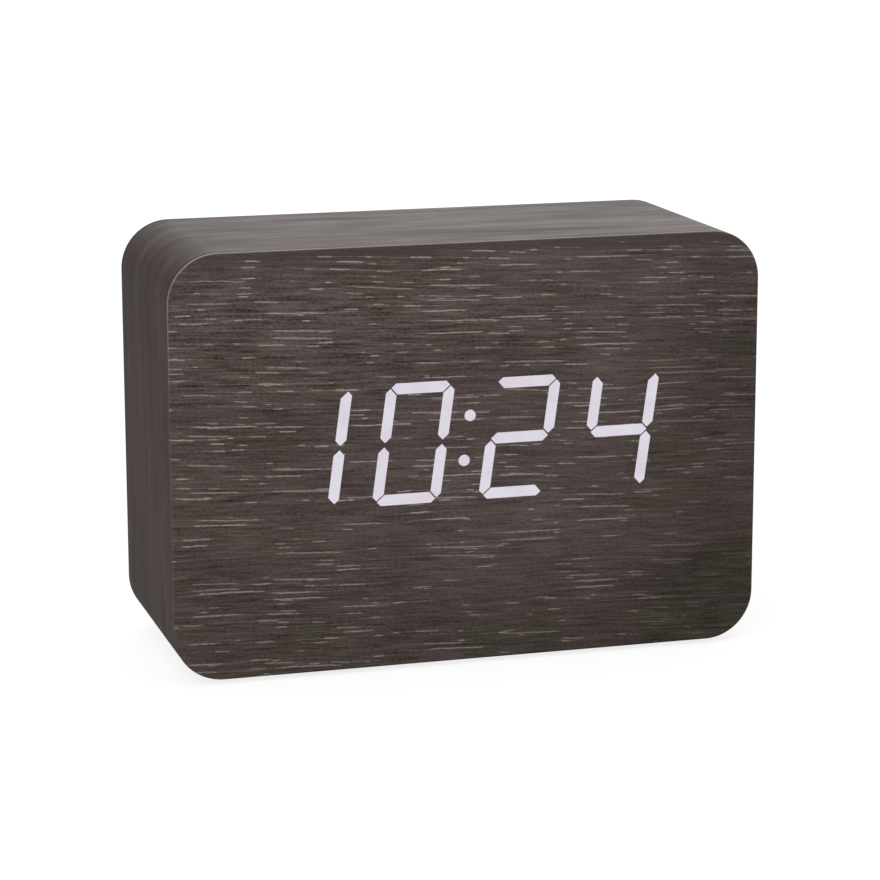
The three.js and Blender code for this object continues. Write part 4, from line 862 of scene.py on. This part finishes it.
def ribbon(material):
    """The display's ribbon: fourteen wires side by side in one grey skin. It follows a cubic Bezier curve
    in y and z, and its half thickness is 0.25 mm plus 0.05 mm times |sin| across each wire."""
    p0, p1, p2, p3 = np.array([[-8.3, 44.64], [-0.65, 44.64], [-0.65, 50.7], [7.0, 50.7]]) * MM
    s = np.linspace(0, 1, 48)[:, None]
    line = (1 - s)**3 * p0 + 3 * (1 - s)**2 * s * p1 + 3 * (1 - s) * s**2 * p2 + s**3 * p3
    slope = 3 * (1 - s)**2 * (p1 - p0) + 6 * (1 - s) * s * (p2 - p1) + 3 * s**2 * (p3 - p2)
    slope /= np.linalg.norm(slope, axis=1)[:, None]
    normal = np.stack([-slope[:, 1], slope[:, 0]], axis=1)
    across = np.linspace(0, 14, 14 * 8 + 1)
    half = 0.25 + 0.05 * np.abs(np.sin(np.pi * across))
    section_x = (13 + np.concatenate([across, across[::-1]])) * MM
    section_up = np.concatenate([half, -half[::-1]]) * MM
    place = np.concatenate([[0], np.arange(len(line)), [len(line) - 1]])
    lift = np.ones(len(place))
    lift[[0, -1]] = 0
    points = np.empty((len(place), len(section_x), 3))
    points[..., 0] = section_x
    rise = (lift[:, None] * section_up)[..., None]
    points[..., 1:] = line[place][:, None] + rise * normal[place][:, None]
    faces = grid_faces(len(place), len(section_x), round_columns=True)
    new_piece("display_ribbon", "cable", [(points, faces)], [material], 60.0)


def winding(material):
    """The aerial's winding: one layer of fine wire on the rod. Its radius is 5.28 mm plus 0.12 mm times
    |sin| of the screw line x / 0.5 mm - angle / turn, between two flat ends."""
    low, high, middle = box_of("antenna_coil")
    reach = (high[2] - low[2]) / 2
    inner = 4.3 * MM
    wire = 0.12 * MM
    along = np.linspace(low[0], high[0], 44 * 9 + 1)
    angle = np.linspace(0, 2 * np.pi, 56, endpoint=False)
    screw_line = along[:, None] / (0.5 * MM) - angle / (2 * np.pi)
    radius = reach - wire + wire * np.abs(np.sin(np.pi * screw_line))
    radius = np.pad(radius, ((1, 1), (0, 0)), constant_values=inner)
    along = np.concatenate([along[:1], along, along[-1:]])
    points = np.empty((len(along), len(angle), 3))
    points[..., 0] = along[:, None]
    points[..., 1] = middle[1] + radius * np.cos(angle)
    points[..., 2] = middle[2] + radius * np.sin(angle)
    faces = grid_faces(len(along), len(angle), round_rows=True, round_columns=True)
    new_piece("antenna_coil", "winding", [(points, faces)], [material], 50.0)


# The light, the floor and the camera

def floor():
    """A wide pale sheet just under the feet, clear from below. The camera sees it white with the clock's
    soft shadow, and it gives other rays a plain grey light, so that the underside can be seen too."""
    half, height = 9, -0.02 * MM
    corners = [(-half, -half, height), (half, -half, height), (half, half, height), (-half, half, height)]
    mesh = bpy.data.meshes.new("floor_sheet")
    mesh.from_pydata(corners, [], [(0, 1, 2, 3)])
    finish = Finish("floor_pale", specular=0.0)
    tone = finish.mixed(finish.cloud(40), (0.88, 0.88, 0.88, 1), (0.92, 0.92, 0.92, 1))
    mesh.materials.append(finish.done(tone, 1.0))
    white = finish.node("ShaderNodeEmission", {"Strength": 1.16}).outputs[0]
    grey = finish.node("ShaderNodeEmission", {"Strength": 0.22}).outputs[0]
    clear = finish.node("ShaderNodeBsdfTransparent").outputs[0]
    from_camera = finish.node("ShaderNodeLightPath").outputs["Is Camera Ray"]
    from_below = finish.node("ShaderNodeNewGeometry").outputs["Backfacing"]
    east, north = [side * MM for side in finish.place[:2]]
    far = (east * east + north * north).rise(0.05, 0.5)
    seen = finish.blend(far * 0.3 + 0.7, finish.shader.outputs[0], white)
    lit = finish.blend(from_camera, grey, seen)
    surface = finish.blend(from_below, lit, clear)
    finish.feed(finish.nodes["Material Output"], {"Surface": surface})
    sheet = placed("floor_sheet", mesh)


def backdrop(strength):
    """The surroundings: white where the camera sees them, a plain grey light for matt surfaces, and in
    mirrored light a white wall at the back and the right that falls off to a dark one at the left."""
    world = bpy.data.worlds.new("studio")
    bpy.context.scene.world = world
    world.use_nodes = True
    graph = Graph(world.node_tree)
    ray = graph.node("ShaderNodeLightPath").outputs
    way = graph.parts(graph.node("ShaderNodeTexCoord").outputs["Generated"])
    wall = graph.node("ShaderNodeMapRange", {
        "Value": way[0], "From Min": -0.3, "From Max": 0.25, "To Min": 0.04, "To Max": 0.86})
    light = graph.node("ShaderNodeMix", {0: ray["Is Glossy Ray"], 2: strength, 3: wall.outputs["Result"]})
    seen = Signal(graph, light.outputs[0]).larger(ray["Is Camera Ray"])
    graph.feed(graph.nodes["Background"], {"Color": (1, 1, 1, 1), "Strength": seen})


def softbox(name, place, size, power, mirrored=True):
    """A square studio light at a place, turned towards the clock, which shiny surfaces mirror or not."""
    lamp = bpy.data.lights.new(name, "AREA")
    lamp.size = size
    lamp.energy = power
    holder = placed(name, lamp)
    holder.location = place
    holder.rotation_euler = (Vector(LIGHTS_AIM) - Vector(place)).to_track_quat("-Z", "Y").to_euler()
    holder.visible_glossy = mirrored


def camera():
    """The photograph's camera: its eye, pan, tilt, small roll and focal length in pixels come from a fit
    of the case's outline."""
    pan, tilt, roll = (math.radians(angle) for angle in (-16.2747, 12.3473, -0.0856))
    eye = Vector((-0.139525, -0.479756, 0.14325))
    focal_pixels = 3004.925
    photo_pixels = 880
    back = Vector((math.sin(pan) * math.cos(tilt), -math.cos(pan) * math.cos(tilt), math.sin(tilt)))
    right = Vector((math.cos(pan), math.sin(pan), 0))
    up = back.cross(right)
    rolled_right = right * math.cos(roll) + up * math.sin(roll)
    rolled_up = up * math.cos(roll) - right * math.sin(roll)
    lens = bpy.data.cameras.new("camera")
    lens.sensor_width = 36
    lens.lens = focal_pixels * 36 / photo_pixels
    lens.clip_start = 0.01
    holder = placed("camera", lens)
    holder.matrix_world = Matrix((rolled_right, rolled_up, back)).transposed().to_4x4()
    holder.location = eye
    bpy.context.scene.camera = holder


def dress(material, *names):
    """Gives CAD nodes that are shown as they are their finish."""
    for name in names:
        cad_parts[name].data.materials[0] = material


bpy.context.scene.view_settings.view_transform = "Standard"
camera()
backdrop(0.55)
softbox("key", (-0.75, -0.9, 0.95), 0.9, 9.0)
softbox("top", (0.1, 0.2, 1.2), 0.9, 3.0)
softbox("back", (0.5, 1.3, 0.35), 0.7, 7.0, False)
floor()

panel_black = speckled_plastic("panel_black", colour(30, 30, 31), 0.4)
white = white_moulding()
steel = plated("pressed_steel", colour(196, 198, 200), (2.5, 2.5, 0.15), 0.22)
front_film()
wrap_film()
dress(stained_board(), "case_sleeve")
dress(panel_black, "front_panel")
dress(lit_bar_light(), "hour_tens_lens", "hour_units_lens", "minute_tens_lens", "minute_units_lens",
      "colon_lens")
dress(white, "display_reflector")

rubber = foot_rubber()
for place in ("front_left", "front_right", "back_left", "back_right"):
    foot("foot_" + place, rubber)

zinc = plated("zinc_screw", colour(188, 190, 192), (0.35, 0.35, 0.35), 0.22)
for place in ("top_left", "top_right", "bottom_left", "bottom_right"):
    screw("back_screw_" + place, zinc)

thumb_notch = ((5, 18.5, 46.5), (19, 19.5, 49.5))
softened("back_plate", plate_plastic(), 0.1 * MM, keep=thumb_notch)
door_black = speckled_plastic("door_spark_black", colour(41, 41, 43), 0.38, 0.035, 0.22)
softened("battery_door", door_black, 0.12 * MM, body="door")
softened("battery_door_latch", door_black, 0.1 * MM, body="latch")
key_black = speckled_plastic("key_satin_black", colour(48, 48, 50), 0.28, 0.006, 0.3, specular=0.5)
for key in ("set", "minus", "plus"):
    softened(key + "_button", key_black, 0.15 * MM, body=key + "_key", segments=4, sharp=30)
    dress(panel_black, key + "_switch_case")
    dress(white, key + "_switch_plunger")
softened("alarm_switch_knob", key_black, 0.12 * MM, body="alarm_slider")

nickel = plated("nickel_strip", colour(205, 204, 198), (1.0, 4.0, 0.12), 0.16)
contact("contact_negative", nickel, [13.9 * MM], 13.9 * MM)
contact("contact_link_right", nickel, [25.1 * MM])
contact("contact_link_left", nickel, [36.3 * MM])
contact("contact_positive", nickel, [], 36.3 * MM)
sleeve = cell_sleeve()
for node, points_right in (("battery_1", True), ("battery_2", False), ("battery_3", True)):
    battery(node, points_right, sleeve, steel)

red = insulation("red_insulation", colour(176, 34, 30))
black = insulation("black_insulation", colour(34, 34, 36))
lead("battery_lead_negative", black, (1, 0, 1), [
    (-12.3, 2.3, 13.9), (-12.3, 1.3, 13.9), (-13.5, 0.4, 15.5), (-15.9, 1.6, 17.9), (-16.9, 4.3, 19.9),
    (-17.3, 6.7, 20.9)])
lead("battery_lead_positive", red, (0.9, 0, 0.45), [
    (36.3, 2.3, 36.3), (36.3, 1.3, 36.3), (35.3, 0.4, 38.1), (33.8, 1.4, 41.3), (31.3, 3.0, 47.2),
    (29.8, 5.3, 49.9), (29.3, 6.7, 50.3)])
lead("antenna_lead", black, (0, 0.8, -0.6), [
    (-20.3, -6.2, 18.7), (-22.4, -5.0, 20.0), (-21.1, -1.2, 24.0), (-22.1, 3.6, 30.0), (-22.1, 5.7, 31.4)])
ribbon(insulation("ribbon_grey", colour(150, 152, 154)))
winding(enamelled_copper())

dress(circuit_green(), "display_board", "main_board", "receiver_board")
chip_resin = speckled_plastic("chip_resin", colour(32, 32, 33), 0.5, 0.01, 0.1)
dress(chip_resin, "controller_chip", "led_driver_chip")
dress(speckled_plastic("sintered_ferrite", colour(48, 47, 49), 0.5, 0.02, 0.12), "antenna_rod")
dress(steel, "quartz_crystal", "supply_capacitor", "power_socket_shell", "microphone")
dress(panel_black, "buzzer", "power_socket_tongue", "alarm_switch_case", "antenna_clip_left",
      "antenna_clip_right")
dress(zinc, "board_screw_upper", "board_screw_lower")
